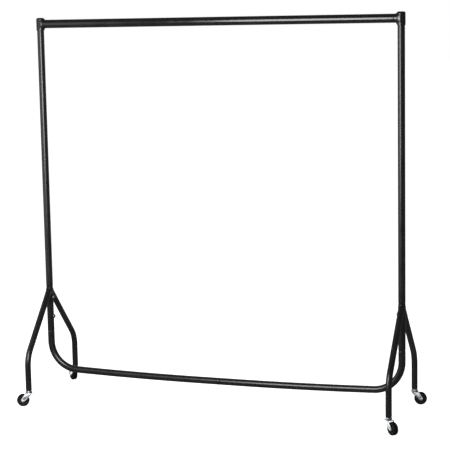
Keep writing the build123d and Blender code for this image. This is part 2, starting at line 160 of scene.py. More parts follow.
class CornerSizes(bpy.types.PropertyGroup):
    """Sizes of the moulded corner connectors."""

    sleeve_radius: length("Sleeve radius", "Outside radius of the sleeve", 16.2 * MM)
    bore_radius: length("Bore radius", "Radius of the socket for the upright", 14.1 * MM)
    roof: length("Roof", "Thickness of plastic over the upright", 7 * MM)
    neck_radius: length("Neck radius", "Radius of the neck towards the rail", 15.8 * MM)
    ring_length: length("Ring length", "Length of the collar beside the rail", 5 * MM)
    fillet: length("Fillet", "Fillet between sleeve and neck", 12 * MM)
    top_round: length("Top rounding", "Rounding of the sleeve's top", 7 * MM)
    foot_round: length("Foot rounding", "Rounding of the sleeve's foot", 1.2 * MM)
    spigot_radius: length("Spigot radius", "Outside radius of the stub inside the rail", 15.4 * MM)
    spigot_wall: length("Spigot wall", "Wall of the stub", 3 * MM)
    grain: length("Mesh grain", "Size of the mesh faces", 0.75 * MM)


class CastorSizes(bpy.types.PropertyGroup):
    """Sizes of the castors."""

    tyre_half_width: length("Tyre half width", "Half the width of the tyre", 9.5 * MM)
    tyre_shoulder: length("Tyre shoulder", "Rounding of the tyre's shoulders", 4 * MM)
    rim_radius: length("Rim radius", "Outside radius of the wheel under its tyre", 19.5 * MM)
    rim_inner: length("Rim inner radius", "Inside radius of the wheel's rim", 16 * MM)
    rim_half_width: length("Rim half width", "Half the width of the rim", 8.5 * MM)
    hub_radius: length("Hub radius", "Radius of the wheel's hub", 7 * MM)
    hub_half_width: length("Hub half width", "Half the length of the hub", 10.2 * MM)
    web_half: length("Web half width", "Half the thickness of the disc", 4 * MM)
    axle_radius: length("Axle radius", "Radius of the axle rivet", 3 * MM)
    fork_half_width: length("Fork half width", "Outside half width of the fork", 12.3 * MM)
    rivet_head: length("Rivet head radius", "Radius of the rivet's heads", 5 * MM)
    rivet_height: length("Rivet head height", "Height of the rivet's heads", 1.6 * MM)
    ball_radius: length("Ball radius", "Radius of the bearing balls", 1.75 * MM)
    ball_count: IntProperty(name="Balls", description="Balls in each bearing", default=12, min=3)


class WeldSizes(bpy.types.PropertyGroup):
    """Sizes of the weld beads."""

    bead_radius: length("Bead radius", "Radius of one ripple of the bead", 2.1 * MM)
    pitch: length("Ripple pitch", "Distance between two ripples", 1.7 * MM)
    grain: length("Mesh grain", "Size of the mesh faces", 0.4 * MM)
    seed: IntProperty(name="Seed", description="Seed of the uneven ripples", default=7)


class BoltSizes(bpy.types.PropertyGroup):
    """Sizes of the locking bolts."""

    head_radius: length("Head radius", "Radius of the domed head", 8 * MM)
    head_height: length("Head height", "Height of the domed head", 6 * MM)
    flange: length("Flange", "Straight rim under the dome", 1.4 * MM)
    shank_radius: length("Shank radius", "Radius of the threaded shank", 4 * MM)
    shank_length: length("Shank length", "Length of the shank under the head", 13.5 * MM)
    thread_pitch: length("Thread pitch", "Pitch of the thread", 1.25 * MM)
    key_flats: length("Key width", "Across flats of the hexagon socket", 5 * MM)
    key_depth: length("Key depth", "Depth of the hexagon socket", 3.5 * MM)


class FinishColours(bpy.types.PropertyGroup):
    """Colours of the finishes."""

    paint: colour("Powder coat", "Semi-gloss black powder coat on the tubes", "#0E0E0F")
    paint_thin: colour("Thin powder coat", "Where the powder lies thinner", "#161617")
    nylon: colour("Corner nylon", "Moulded nylon of the corners", "#0C0C0D")
    zinc: colour("Zinc plate", "Bright zinc plate of the castors", "#CFD1D2")
    zinc_dull: colour("Dull zinc", "Zinc plate where it was handled", "#A9ACAE")
    bolt: colour("Bolt zinc", "Darker zinc of the bolts", "#85878A")
    wheel: colour("Wheel nylon", "Moulded wheel disc", "#131315")
    tyre: colour("Tyre rubber", "Rubber of the tyre", "#060607")
    dust: colour("Dust", "Dust on the tread", "#2E2D2B")
    floor: colour("Floor", "Plain pale floor", "#F2F2F1")


# ------------------------------------------------------------------ node helper


def add(tree, kind, inputs=None, **settings):
    """Add one node. settings are its own properties; inputs maps a socket to a value or a link."""
    node = tree.nodes.new(kind)
    for name, value in settings.items():
        setattr(node, name, value)
    for key, value in (inputs or {}).items():
        if isinstance(value, bpy.types.NodeSocket):
            tree.links.new(value, node.inputs[key])
        else:
            node.inputs[key].default_value = value
    return node


# ------------------------------------------------------------------ materials


NOISE_RANGE = (0.3, 0.7)  # nearly all of a noise lies between these
finishes = {}


def grain(tree, coordinates, size, detail=2.0, stretch=(1, 1, 1)):
    """Noise whose marks are about this size in metres, stretched along the axes."""
    inputs = {"Vector": coordinates, "Scale": [1 / s for s in stretch]}
    scaled = add(tree, "ShaderNodeMapping", inputs).outputs[0]
    inputs = {"Vector": scaled, "Scale": 1 / size, "Detail": detail}
    return add(tree, "ShaderNodeTexNoise", inputs).outputs["Fac"]


def surface(name, tones, cloud, gloss, bumps, sockets, patches=(0, 1, *NOISE_RANGE), sheen=None):
    """A material whose tone and roughness follow a noise, over a stack of fine bumps.

    cloud is the size, detail and stretch of the noise; the roughness follows sheen instead where
    it is given. gloss is the range of roughness, and patches is the range of the second tone's
    share and the range of noise that it is spread over. bumps are (depth, strength, size, detail,
    stretch), and sockets are the shader's numbers that are the same all over.
    """
    material = bpy.data.materials.new(name)
    material.use_nodes = True
    tree = material.node_tree
    tree.nodes.clear()
    place = add(tree, "ShaderNodeTexCoord", name="place").outputs["Object"]
    clouds = grain(tree, place, *cloud)
    sheens = grain(tree, place, *sheen) if sheen else clouds
    ranges = ((clouds, patches), (sheens, (*gloss, *NOISE_RANGE)))
    share, rough = (
        add(
            tree,
            "ShaderNodeMapRange",
            {"Value": noise, "From Min": start, "From Max": stop, "To Min": low, "To Max": high},
        ).outputs["Result"]
        for noise, (low, high, start, stop) in ranges
    )
    sides = {0: share, 6: (*tones[0], 1), 7: (*tones[1], 1)}
    tone = add(tree, "ShaderNodeMix", sides, data_type="RGBA").outputs[2]
    normal = {}
    for depth, strength, *noise in bumps:
        inputs = {"Height": grain(tree, place, *noise), "Distance": depth, "Strength": strength}
        normal = {"Normal": add(tree, "ShaderNodeBump", inputs | normal).outputs["Normal"]}
    inputs = {"Base Color": tone, "Roughness": rough} | normal | sockets
    shader = add(tree, "ShaderNodeBsdfPrincipled", inputs, name="shader")
    add(tree, "ShaderNodeOutputMaterial", {"Surface": shader.outputs["BSDF"]})
    return material


RUB_LOW, RUB_HIGH = RAIL_Z + 0.35 * RAIL_RADIUS, RAIL_Z + 0.95 * RAIL_RADIUS
RUB_ROUGHNESS = 0.14  # how much duller a full mark is


def rubbed_by_hooks(material, mark):
    """Add the fine cross marks that hanger hooks rub into the rail's upper side."""
    tree = material.node_tree
    shader = tree.nodes["shader"]
    tone, rough = (shader.inputs[name].links[0].from_socket for name in ("Base Color", "Roughness"))
    place = tree.nodes["place"].outputs["Object"]
    marks = grain(tree, place, 1 * MM, 4, (1.2, 40, 40))
    height = add(tree, "ShaderNodeSeparateXYZ", {0: place}).outputs["Z"]
    ranges = ((marks, 0.55, 0.75), (height, RUB_LOW, RUB_HIGH))
    marks, upper = (
        add(tree, "ShaderNodeMapRange", {"Value": value, "From Min": start, "From Max": stop}).outputs[0]
        for value, start, stop in ranges
    )
    worn = add(tree, "ShaderNodeMath", {0: marks, 1: upper}, operation="MULTIPLY").outputs[0]
    lighter = add(tree, "ShaderNodeMix", {0: worn, 6: tone, 7: (*mark, 1)}, data_type="RGBA").outputs[2]
    inputs = {0: worn, 1: RUB_ROUGHNESS, 2: rough}
    duller = add(tree, "ShaderNodeMath", inputs, operation="MULTIPLY_ADD").outputs[0]
    tree.links.new(lighter, shader.inputs["Base Color"])
    tree.links.new(duller, shader.inputs["Roughness"])
    return material


def tinted(tone, factor):
    """A linear colour made lighter or darker."""
    return [min(1, factor * c) for c in tone]


def powder_coated_steel(name, colours, gloss):
    """Steel tube, sprayed with polyester powder and baked: a soft sheen over a fine orange peel."""
    tones = (colours.paint, colours.paint_thin)
    peel = (0.03 * MM, 0.15, 2.2 * MM)
    fine = (0.01 * MM, 0.1, 0.6 * MM, 3)
    return surface(name, tones, (70 * MM, 3), gloss, (peel, fine), {"IOR": 1.5}, sheen=(35 * MM, 4))


def moulded_nylon(colours):
    """Glass-filled nylon, injection moulded: glossy, with a fine spark texture and flow marks."""
    tones = (colours.nylon, tinted(colours.nylon, 1.5))
    spark = (0.02 * MM, 0.3, 0.7 * MM, 3)
    sink = (0.08 * MM, 0.2, 6 * MM)
    flow = (9 * MM, 3, (1, 1, 3))
    return surface("moulded_nylon", tones, flow, (0.2, 0.29), (spark, sink), {"IOR": 1.53})


def zinc_plate(name, bright, dull, gloss):
    """Pressed or turned steel, electroplated: a cool metal, cloudy and with drawing lines."""
    lines = (0.015 * MM, 0.25, 0.5 * MM, 2, (1, 1, 12))
    crystals = (0.02 * MM, 0.2, 0.9 * MM, 3)
    return surface(name, (bright, dull), (7 * MM, 4), gloss, (lines, crystals), {"Metallic": 1})


def wheel_nylon(colours):
    """Injection moulded wheel disc: satin, near black, with a faint spark texture."""
    tones = (colours.wheel, tinted(colours.wheel, 1.35))
    spark = (0.03 * MM, 0.35, 0.5 * MM, 3)
    return surface("wheel_nylon", tones, (8 * MM, 3), (0.38, 0.5), (spark,), {"IOR": 1.49})


def tyre_rubber(colours):
    """Vulcanised rubber: matt black with dust in its pores and scuffs from the floor."""
    tones = (colours.tyre, colours.dust)
    pores = (0.06 * MM, 0.4, 0.45 * MM, 3)
    sockets = {"Specular IOR Level": 0.12, "IOR": 1.52}
    dusty = (0, 0.3, 0.5, 0.8)
    return surface("tyre_rubber", tones, (5 * MM, 6), (0.5, 0.72), (pores,), sockets, dusty)


def floor_paint(colours):
    """Matt painted studio floor, faintly mottled and stippled by its roller."""
    tones = (colours.floor, tinted(colours.floor, 0.985))
    stipple = (0.05 * MM, 0.3, 2.5 * MM)
    sockets = {"Specular IOR Level": 0.2, "Emission Color": (1, 1, 1, 1), "Emission Strength": 0.95}
    return surface("floor_paint", tones, (90 * MM, 4), (0.82, 0.9), (stipple,), sockets)


def make_materials(colours):
    """Every finish of the rack, by name."""
    rail = powder_coated_steel("powder_coated_rail", colours, (0.15, 0.21))
    return {
        "tube": powder_coated_steel("powder_coated_steel", colours, (0.24, 0.32)),
        "rail": rubbed_by_hooks(rail, tinted(colours.paint_thin, 2.2)),
        "corner": moulded_nylon(colours),
        "zinc": zinc_plate("bright_zinc_plate", colours.zinc, colours.zinc_dull, (0.22, 0.38)),
        "bolt": zinc_plate("dark_zinc_plate", colours.bolt, tinted(colours.bolt, 0.6), (0.28, 0.42)),
        "wheel": wheel_nylon(colours),
        "tyre": tyre_rubber(colours),
    }


def material_for(key):
    """One of the rack's finishes, made on first use."""
    if key not in finishes:
        finishes.update(make_materials(bpy.context.scene.rack_colours))
    return finishes[key]


# ------------------------------------------------------------------ mesh helpers

SMOOTH_LIMIT = radians(32)  # edges sharper than this stay crisp
ARC_STEP = radians(4)
RIM_LIMIT = radians(50)  # edges sharper than this are rims, and get rounded
TINY = 0.001 * MM


def shaded(mesh):
    """Smooth shading that keeps the sharp edges."""
    bm = bmesh.new()
    bm.from_mesh(mesh)
    for face in bm.faces:
        face.smooth = True
    for edge in bm.edges:
        edge.smooth = len(edge.link_faces) == 2 and edge.calc_face_angle() < SMOOTH_LIMIT
    bm.to_mesh(mesh)
    bm.free()
    return mesh


def new_piece(name, mesh, material=None):
    """A linked object that stands at the origin."""
    piece = bpy.data.objects.new(name, mesh)
    bpy.context.scene.collection.objects.link(piece)
    if material:
        mesh.materials.clear()
        mesh.materials.append(material)
    return piece


def settle(piece):
    """Apply every modifier of a piece and leave one plain, smoothly shaded mesh."""
    depsgraph = bpy.context.evaluated_depsgraph_get()
    old = piece.data
    mesh = bpy.data.meshes.new_from_object(piece.evaluated_get(depsgraph), depsgraph=depsgraph)
    piece.modifiers.clear()
    piece.data = shaded(mesh)
    bpy.data.meshes.remove(old)
    mesh.name = piece.name
    return piece


def hand_over(piece, body, slot, *nodes):
    """Give a finished piece to the frame: its body and the nodes it stands for. Its finish slot is not
    used.
    """
    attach(piece, body)
    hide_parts(*nodes)


def rounded(corners, closed=False):
    """Points of a path whose corners are arcs. corners are (point, bend radius)."""
    points = []
    for index, (corner, radius) in enumerate(corners):
        at_end = not closed and index in (0, len(corners) - 1)
        if at_end or radius == 0:
            points.append(corner.copy())
            continue
        before = (corners[index - 1][0] - corner).normalized()
        after = (corners[(index + 1) % len(corners)][0] - corner).normalized()
        half_angle = before.angle(after) / 2
        centre = corner + (before + after).normalized() * (radius / sin(half_angle))
        spoke = corner + before * (radius / tan(half_angle)) - centre
        last = corner + after * (radius / tan(half_angle)) - centre
        turn = pi - 2 * half_angle
        steps = max(2, ceil(turn / ARC_STEP))
        axis = spoke.cross(last).normalized()
        points += [centre + Matrix.Rotation(turn * k / steps, 3, axis) @ spoke for k in range(steps + 1)]
    return points


def outline(*corners):
    """A turned piece's section with rounded corners, from (along, radius, rounding) in millimetres."""
    path = [(Vector((along, radius, 0)) * MM, rounding * MM) for along, radius, rounding in corners]
    return [(point.x, point.y) for point in rounded(path, closed=True)]


def turned(section, origin, direction, sides=96, reach=None):
    """Mesh turned round an axis. section lists (along, radius) once round; a radius of 0 is a pole.

    reach(along, radius, angle) may change a point's radius, as for a hexagon socket.
    """
    bm = bmesh.new()
    across = direction.orthogonal().normalized()
    other = direction.cross(across)
    angles = [2 * pi * k / sides for k in range(sides)]
    rings = []
    for along, radius in section:
        foot = origin + direction * along
        if radius < TINY:
            rings.append([bm.verts.new(foot)])
            continue
        ring = []
        for angle in angles:
            spoke = across * cos(angle) + other * sin(angle)
            ring.append(bm.verts.new(foot + spoke * (reach(along, radius, angle) if reach else radius)))
        rings.append(ring)
    pairs = list(zip(rings, rings[1:]))
    if len(rings[0]) > 1:
        pairs.append((rings[-1], rings[0]))
    for lower, upper in pairs:
        for k in range(sides):
            ring_ends = (lower, k), (lower, k + 1), (upper, k + 1), (upper, k)
            face = list(dict.fromkeys(ring[i % len(ring)] for ring, i in ring_ends))
            if len(face) > 2:
                bm.faces.new(face)
    bmesh.ops.recalc_face_normals(bm, faces=bm.faces)
    mesh = bpy.data.meshes.new("turned")
    bm.to_mesh(mesh)
    bm.free()
    return shaded(mesh)


def coordinates_of(mesh):
    """The points of a mesh as rows of an array."""
    values = np.empty(len(mesh.vertices) * 3)
    mesh.vertices.foreach_get("co", values)
    return values.reshape(-1, 3)


# ------------------------------------------------------------------ Geometry Nodes


def start_tree(name, **inputs):
    """A Geometry Nodes tree with named inputs, each given as its socket type."""
    tree = bpy.data.node_groups.new(name, "GeometryNodeTree")
    tree.interface.new_socket("Geometry", in_out="INPUT", socket_type="NodeSocketGeometry")
    for label, kind in inputs.items():
        tree.interface.new_socket(label, in_out="INPUT", socket_type=f"NodeSocket{kind}")
    tree.interface.new_socket("Material", in_out="INPUT", socket_type="NodeSocketMaterial")
    tree.interface.new_socket("Geometry", in_out="OUTPUT", socket_type="NodeSocketGeometry")
    return tree, add(tree, "NodeGroupInput").outputs


def end_tree(tree, geometry, material):
    """Close a tree with Realize Instances and Set Material."""
    real = add(tree, "GeometryNodeRealizeInstances", {"Geometry": geometry}).outputs[0]
    painted = add(tree, "GeometryNodeSetMaterial", {"Geometry": real, "Material": material}).outputs[0]
    add(tree, "NodeGroupOutput", {"Geometry": painted})
    return tree


def tube_tree():
    """Sweeps a round skin along a route of edges, and slides marked ends onto an upright post.

    tube_radius on the route is the skin's radius there. coped marks a ring that slides along the
    leg's own slope until it lies on the post, which gives the fish-mouth of a welded joint.
    """
    settings = {"Sides": "Int"} | dict.fromkeys(("Post_X", "Post_radius", "Side", "Slope"), "Float")
    tree, given = start_tree("tube_along_a_route", **settings)
    curve = add(tree, "GeometryNodeMeshToCurve", {"Mesh": given["Geometry"]}).outputs[0]
    radius, coped = (
        add(tree, "GeometryNodeInputNamedAttribute", {"Name": name}, data_type=kind).outputs[0]
        for name, kind in (("tube_radius", "FLOAT"), ("coped", "BOOLEAN"))
    )
    circle = {"Resolution": given["Sides"], "Radius": 1}
    profile = add(tree, "GeometryNodeCurvePrimitiveCircle", circle).outputs[0]
    sweep = {"Curve": curve, "Profile Curve": profile, "Scale": radius}
    skin = add(tree, "GeometryNodeCurveToMesh", sweep).outputs[0]
    position = add(tree, "GeometryNodeInputPosition").outputs[0]
    place = add(tree, "ShaderNodeSeparateXYZ", {0: position}).outputs
    values = {"x": place["X"], "y": place["Y"]} | {name: given[name] for name in settings}
    for result, operation, *terms in (
        ("beside", "SUBTRACT", "x", "Post_X"),
        ("beside_squared", "MULTIPLY", "beside", "beside"),
        ("radius_squared", "MULTIPLY", "Post_radius", "Post_radius"),
        ("out_squared", "SUBTRACT", "radius_squared", "beside_squared"),
        ("out", "SQRT", "out_squared"),
        ("on_post", "MULTIPLY", "out", "Side"),
        ("slide", "SUBTRACT", "on_post", "y"),
        ("rise", "MULTIPLY", "slide", "Slope"),
    ):
        inputs = dict(enumerate(values[term] for term in terms))
        values[result] = add(tree, "ShaderNodeMath", inputs, operation=operation).outputs[0]
    offset = add(tree, "ShaderNodeCombineXYZ", {"Y": values["slide"], "Z": values["rise"]}).outputs[0]
    moved = {"Geometry": skin, "Selection": coped, "Offset": offset}
    fitted = add(tree, "GeometryNodeSetPosition", moved).outputs[0]
    return end_tree(tree, fitted, given["Material"])


def weld_tree():
    """Lays overlapping ripples along a seam, each a little different, like a hand-run bead."""
    tree, given = start_tree("weld_bead", Pitch="Float", Bead_radius="Float", Seed="Int")
    seam = add(tree, "GeometryNodeMeshToCurve", {"Mesh": given["Geometry"]}).outputs[0]
    spacing = {"Curve": seam, "Length": given["Pitch"]}
    steps = add(tree, "GeometryNodeResampleCurve", spacing, mode="LENGTH").outputs[0]
    drop = {"Radius": given["Bead_radius"], "Subdivisions": 4}
    ripple = add(tree, "GeometryNodeMeshIcoSphere", drop).outputs[0]
    along = add(tree, "GeometryNodeInputTangent").outputs[0]
    turn = add(tree, "FunctionNodeAlignRotationToVector", {"Vector": along}, axis="X").outputs[0]
    # Each ripple is flattened along the seam, and varies by a few percent across it.
    sizes = {"Min": (0.66, 0.92, 0.92), "Max": (0.74, 1.06, 1.06), "Seed": given["Seed"]}
    uneven = add(tree, "FunctionNodeRandomValue", sizes, data_type="FLOAT_VECTOR").outputs[0]
    laid = {"Points": steps, "Instance": ripple, "Rotation": turn, "Scale": uneven}
    ripples = add(tree, "GeometryNodeInstanceOnPoints", laid).outputs[0]
    return end_tree(tree, ripples, given["Material"])


def ball_tree():
    """A ring of bearing balls."""
    settings = {"Count": "Int", "Ring_radius": "Float", "Ball_radius": "Float", "Centre": "Vector"}
    tree, given = start_tree("ball_ring", **settings)
    circle = {"Vertices": given["Count"], "Radius": given["Ring_radius"]}
    ring = add(tree, "GeometryNodeMeshCircle", circle).outputs[0]
    moved = {"Geometry": ring, "Offset": given["Centre"]}
    placed = add(tree, "GeometryNodeSetPosition", moved).outputs[0]
    sphere = {"Segments": 24, "Rings": 16, "Radius": given["Ball_radius"]}
    ball = add(tree, "GeometryNodeMeshUVSphere", sphere).outputs[0]
    balls = add(tree, "GeometryNodeInstanceOnPoints", {"Points": placed, "Instance": ball}).outputs[0]
    return end_tree(tree, balls, given["Material"])


def fastener_tree():
    """Puts one fastener at every site, turned the way that the site faces."""
    tree, given = start_tree("fasteners_at_sites", Fastener="Object")
    one = add(tree, "GeometryNodeObjectInfo", {"Object": given["Fastener"]}).outputs["Geometry"]
    attribute = {"inputs": {"Name": "facing"}, "data_type": "FLOAT_VECTOR"}
    facing = add(tree, "GeometryNodeInputNamedAttribute", **attribute).outputs[0]
    turn = add(tree, "FunctionNodeAlignRotationToVector", {"Vector": facing}, axis="Z").outputs[0]
    sites = {"Points": given["Geometry"], "Instance": one, "Rotation": turn}
    placed = add(tree, "GeometryNodeInstanceOnPoints", sites).outputs[0]
    return end_tree(tree, placed, given["Material"])


def grown(name, points, edges, tree, marks=(), **values):
    """Run a tree on points and edges and return the plain mesh object that it grows.

    marks are (attribute name, type, values per point); values go to the tree's named inputs.
    """
    mesh = bpy.data.meshes.new(name)
    mesh.from_pydata(points, edges, [])
    for label, kind, numbers in marks:
        attribute = mesh.attributes.new(label, kind, "POINT")
        attribute.data.foreach_set("vector" if kind == "FLOAT_VECTOR" else "value", numbers)
    piece = new_piece(name, mesh)
    modifier = piece.modifiers.new(tree.name, "NODES")
    modifier.node_group = tree
    for socket in tree.interface.items_tree:
        if socket.in_out == "INPUT" and socket.name in values:
            modifier[socket.identifier] = values[socket.name]
    return settle(piece)


trees = {}


def tree_for(maker):
    """One of the trees, made on first use."""
    if maker not in trees:
        trees[maker] = maker()
    return trees[maker]


# ------------------------------------------------------------------ tubes


def chain(count, closed=False):
    """Edges that join points in order."""
    edges = [(k, k + 1) for k in range(count - 1)]
    return edges + [(count - 1, 0)] if closed else edges


def tube(name, stations, rim, material, cope=None):
    """A hollow tube through stations of (point, radius), with rounded rims.

    cope is (post x, post radius, side, slope) where the first station is cut to fit a post.
    """
    sizes = bpy.context.scene.rack_sizes
    post_x, post_radius, side, slope = cope or (0, 0, 0, 0)
    coped = [bool(cope) and k == 0 for k in range(len(stations))]
    points, radii = zip(*stations)
    piece = grown(
        name,
        points,
        chain(len(stations)),
        tree_for(tube_tree),
        marks=[("tube_radius", "FLOAT", radii), ("coped", "BOOLEAN", coped)],
        Sides=sizes.tube_sides,
        Post_X=float(post_x),
        Post_radius=float(post_radius),
        Side=float(side),
        Slope=float(slope),
        Material=material,
    )
    wall = piece.modifiers.new("wall", "SOLIDIFY")
    wall.thickness = sizes.wall
    wall.offset = -1
    wall.use_even_offset = True
    rims = piece.modifiers.new("rims", "BEVEL")
    rims.width = rim
    rims.segments = 3
    rims.limit_method = "ANGLE"
    rims.angle_limit = RIM_LIMIT
    return settle(piece)


def drill(piece, centre, direction, radius, depth):
    """Cut a round hole through a wall, from centre along direction."""
    bm = bmesh.new()
    size = {"segments": 32, "radius1": radius, "radius2": radius, "depth": depth}
    bmesh.ops.create_cone(bm, cap_ends=True, **size)
    turn = direction.to_track_quat("Z", "Y").to_matrix().to_4x4()
    bm.transform(Matrix.Translation(centre + direction * depth / 2) @ turn)
    mesh = bpy.data.meshes.new("drill")
    bm.to_mesh(mesh)
    bm.free()
    bit = new_piece("drill", mesh)
    cut = piece.modifiers.new("drill", "BOOLEAN")
    cut.operation = "DIFFERENCE"
    cut.solver = "EXACT"
    cut.object = bit
    settle(piece)
    bpy.data.objects.remove(bit)
    bpy.data.meshes.remove(mesh)


RING_GUARD = 1.2 * MM  # an extra ring beside a rim or a cone keeps long faces evenly shaded
HOLE_GUARD = 1.7  # the same on each side of a bolt hole, in radii of the hole


def drill_for_bolt(piece, side, height):
    """Cut a bolt's hole through the inner wall of a tube on an upright's axis."""
    centre = Vector((side * UPRIGHT_X, 0, height))
    hole = bpy.context.scene.rack_sizes.bolt_hole
    drill(piece, centre, Vector((-side, 0, 0)), hole, 2 * UPRIGHT_RADIUS)


def bolt_heights():
    """Heights of the lower and the upper locking bolt."""
    head = bpy.context.scene.bolt_sizes.head_radius
    return BOLT_LOW + head, BOLT_HIGH - head


def hole_guards(height, radius):
    """Heights of the rings that keep a bolt hole's cut faces short."""
    return height + HOLE_GUARD * radius, height - HOLE_GUARD * radius


def make_hanging_rail():
    """The thick tube between the two corners."""
    sizes = bpy.context.scene.rack_sizes
    stops = (-RAIL_END, -RAIL_END + RING_GUARD, 0, RAIL_END - RING_GUARD, RAIL_END)
    stations = [(Vector((x, 0, RAIL_Z)), RAIL_RADIUS) for x in stops]
    rail = tube("rail_tube", stations, sizes.rim_round, material_for("rail"))
    hand_over(rail, "root", "tube_paint", "top_rail")


def make_uprights():
    """Two tubes, each swaged at its foot to a spigot that enters the post."""
    sizes = bpy.context.scene.rack_sizes
    full = POST_TOP + sizes.swage_length
    neck = POST_TOP + sizes.seam
    upper_bolt = bolt_heights()[1]
    levels = [
        (UPRIGHT_TOP, UPRIGHT_RADIUS),
        (UPRIGHT_TOP - RING_GUARD, UPRIGHT_RADIUS),
        (full + RING_GUARD, UPRIGHT_RADIUS),
        (full, UPRIGHT_RADIUS),
        (neck, sizes.spigot_radius),
        (neck - RING_GUARD, sizes.spigot_radius),
        *((z, sizes.spigot_radius) for z in hole_guards(upper_bolt, sizes.bolt_hole)),
        (UPRIGHT_TIP + RING_GUARD, sizes.spigot_radius),
        (UPRIGHT_TIP, sizes.spigot_radius),
    ]
    for name, side in SIDES.items():
        stations = [(Vector((side * UPRIGHT_X, 0, z)), radius) for z, radius in levels]
        upright = tube(f"upright_tube_{name}", stations, sizes.rim_round, material_for("tube"))
        drill_for_bolt(upright, side, upper_bolt)
        hand_over(upright, "root", "tube_paint", f"upright_{name}")


def make_post(name, side):
    """Post of one end frame, with holes for its two bolts."""
    sizes = bpy.context.scene.rack_sizes
    lower, upper = bolt_heights()
    levels = [POST_TOP, POST_TOP - RING_GUARD]
    levels += [*hole_guards(upper, sizes.bolt_hole), *hole_guards(lower, sizes.bolt_hole)]
    levels += [POST_BOTTOM + RING_GUARD, POST_BOTTOM]
    stations = [(Vector((side * UPRIGHT_X, 0, z)), UPRIGHT_RADIUS) for z in levels]
    post = tube(f"post_{name}", stations, sizes.post_round, material_for("tube"))
    for height in (lower, upper):
        drill_for_bolt(post, side, height)
    hand_over(post, "root", "tube_paint", f"centre_tube_{name}")


def leg_slope():
    """Rise of a leg's sloping part for each metre that it runs outwards."""
    sizes = bpy.context.scene.rack_sizes
    return (sizes.knee_height - sizes.meet_height) / LEG_Y


COPE_START, COPE_END = 1.4, 3.2  # of the fish-mouth along the leg, in radii of the post


def make_leg(side_name, side, end_name, end):
    """Bent leg: coped to the post at its top, upright over its castor at its foot."""
    sizes = bpy.context.scene.rack_sizes
    x = side * UPRIGHT_X
    top = Vector((x, 0, sizes.meet_height))
    knee = Vector((x, end * LEG_Y, sizes.knee_height))
    foot = Vector((x, end * LEG_Y, LEG_FOOT))
    down = (knee - top).normalized()
    route = [top + down * reach * UPRIGHT_RADIUS for reach in (COPE_START, COPE_END)]
    route += rounded([(top, 0), (knee, sizes.knee_bend), (foot, 0)])[1:-1]
    route += [foot + Vector((0, 0, RING_GUARD)), foot]
    stations = [(point, LEG_RADIUS) for point in route]
    cope = (x, UPRIGHT_RADIUS, end, end * leg_slope())
    name = f"leg_tube_{end_name}_{side_name}"
    leg = tube(name, stations, sizes.rim_round, material_for("tube"), cope)
    hand_over(leg, "root", "tube_paint", f"leg_{end_name}_{side_name}")


def make_end_frames():
    """A post and two legs on each side."""
    for side_name, side in SIDES.items():
        make_post(side_name, side)
        for end_name, end in ENDS.items():
            make_leg(side_name, side, end_name, end)


def cope_seam(x, end, count=120):
    """Points of the seam where a leg's skin meets the post's skin."""
    sizes = bpy.context.scene.rack_sizes
    slope = leg_slope()
    square = Vector((0, -slope, 1)).normalized()  # square to the leg, upwards, for the rear leg
    points = []
    for k in range(count):
        angle = 2 * pi * k / count
        beside = LEG_RADIUS * sin(angle)
        out = sqrt(UPRIGHT_RADIUS**2 - beside**2)
        z = sizes.meet_height + (LEG_RADIUS * cos(angle) - out * square.y) / square.z
        points.append(Vector((x + beside, end * out, z)))
    return points


def make_weld_beads():
    """The beads round the four coped leg ends, melted from their ripples into one skin each."""
    sizes = bpy.context.scene.weld_sizes
    for side_name, side in SIDES.items():
        points, edges = [], []
        for end in ENDS.values():
            seam = cope_seam(side * UPRIGHT_X, end)
            edges += [(a + len(points), b + len(points)) for a, b in chain(len(seam), closed=True)]
            points += seam
        beads = grown(
            f"weld_beads_{side_name}",
            points,
            edges,
            tree_for(weld_tree),
            Pitch=sizes.pitch,
            Bead_radius=sizes.bead_radius,
            Seed=sizes.seed,
            Material=material_for("tube"),
        )
        melt = beads.modifiers.new("melt", "REMESH")
        melt.mode = "VOXEL"
        melt.voxel_size = sizes.grain
        ease = beads.modifiers.new("ease", "SMOOTH")
        ease.factor = 0.5
        ease.iterations = 3
        settle(beads)
        beads.data.materials.clear()
        beads.data.materials.append(material_for("tube"))
        hand_over(beads, "root", "tube_paint", f"leg_welds_{side_name}")


BOW_STEPS = 12


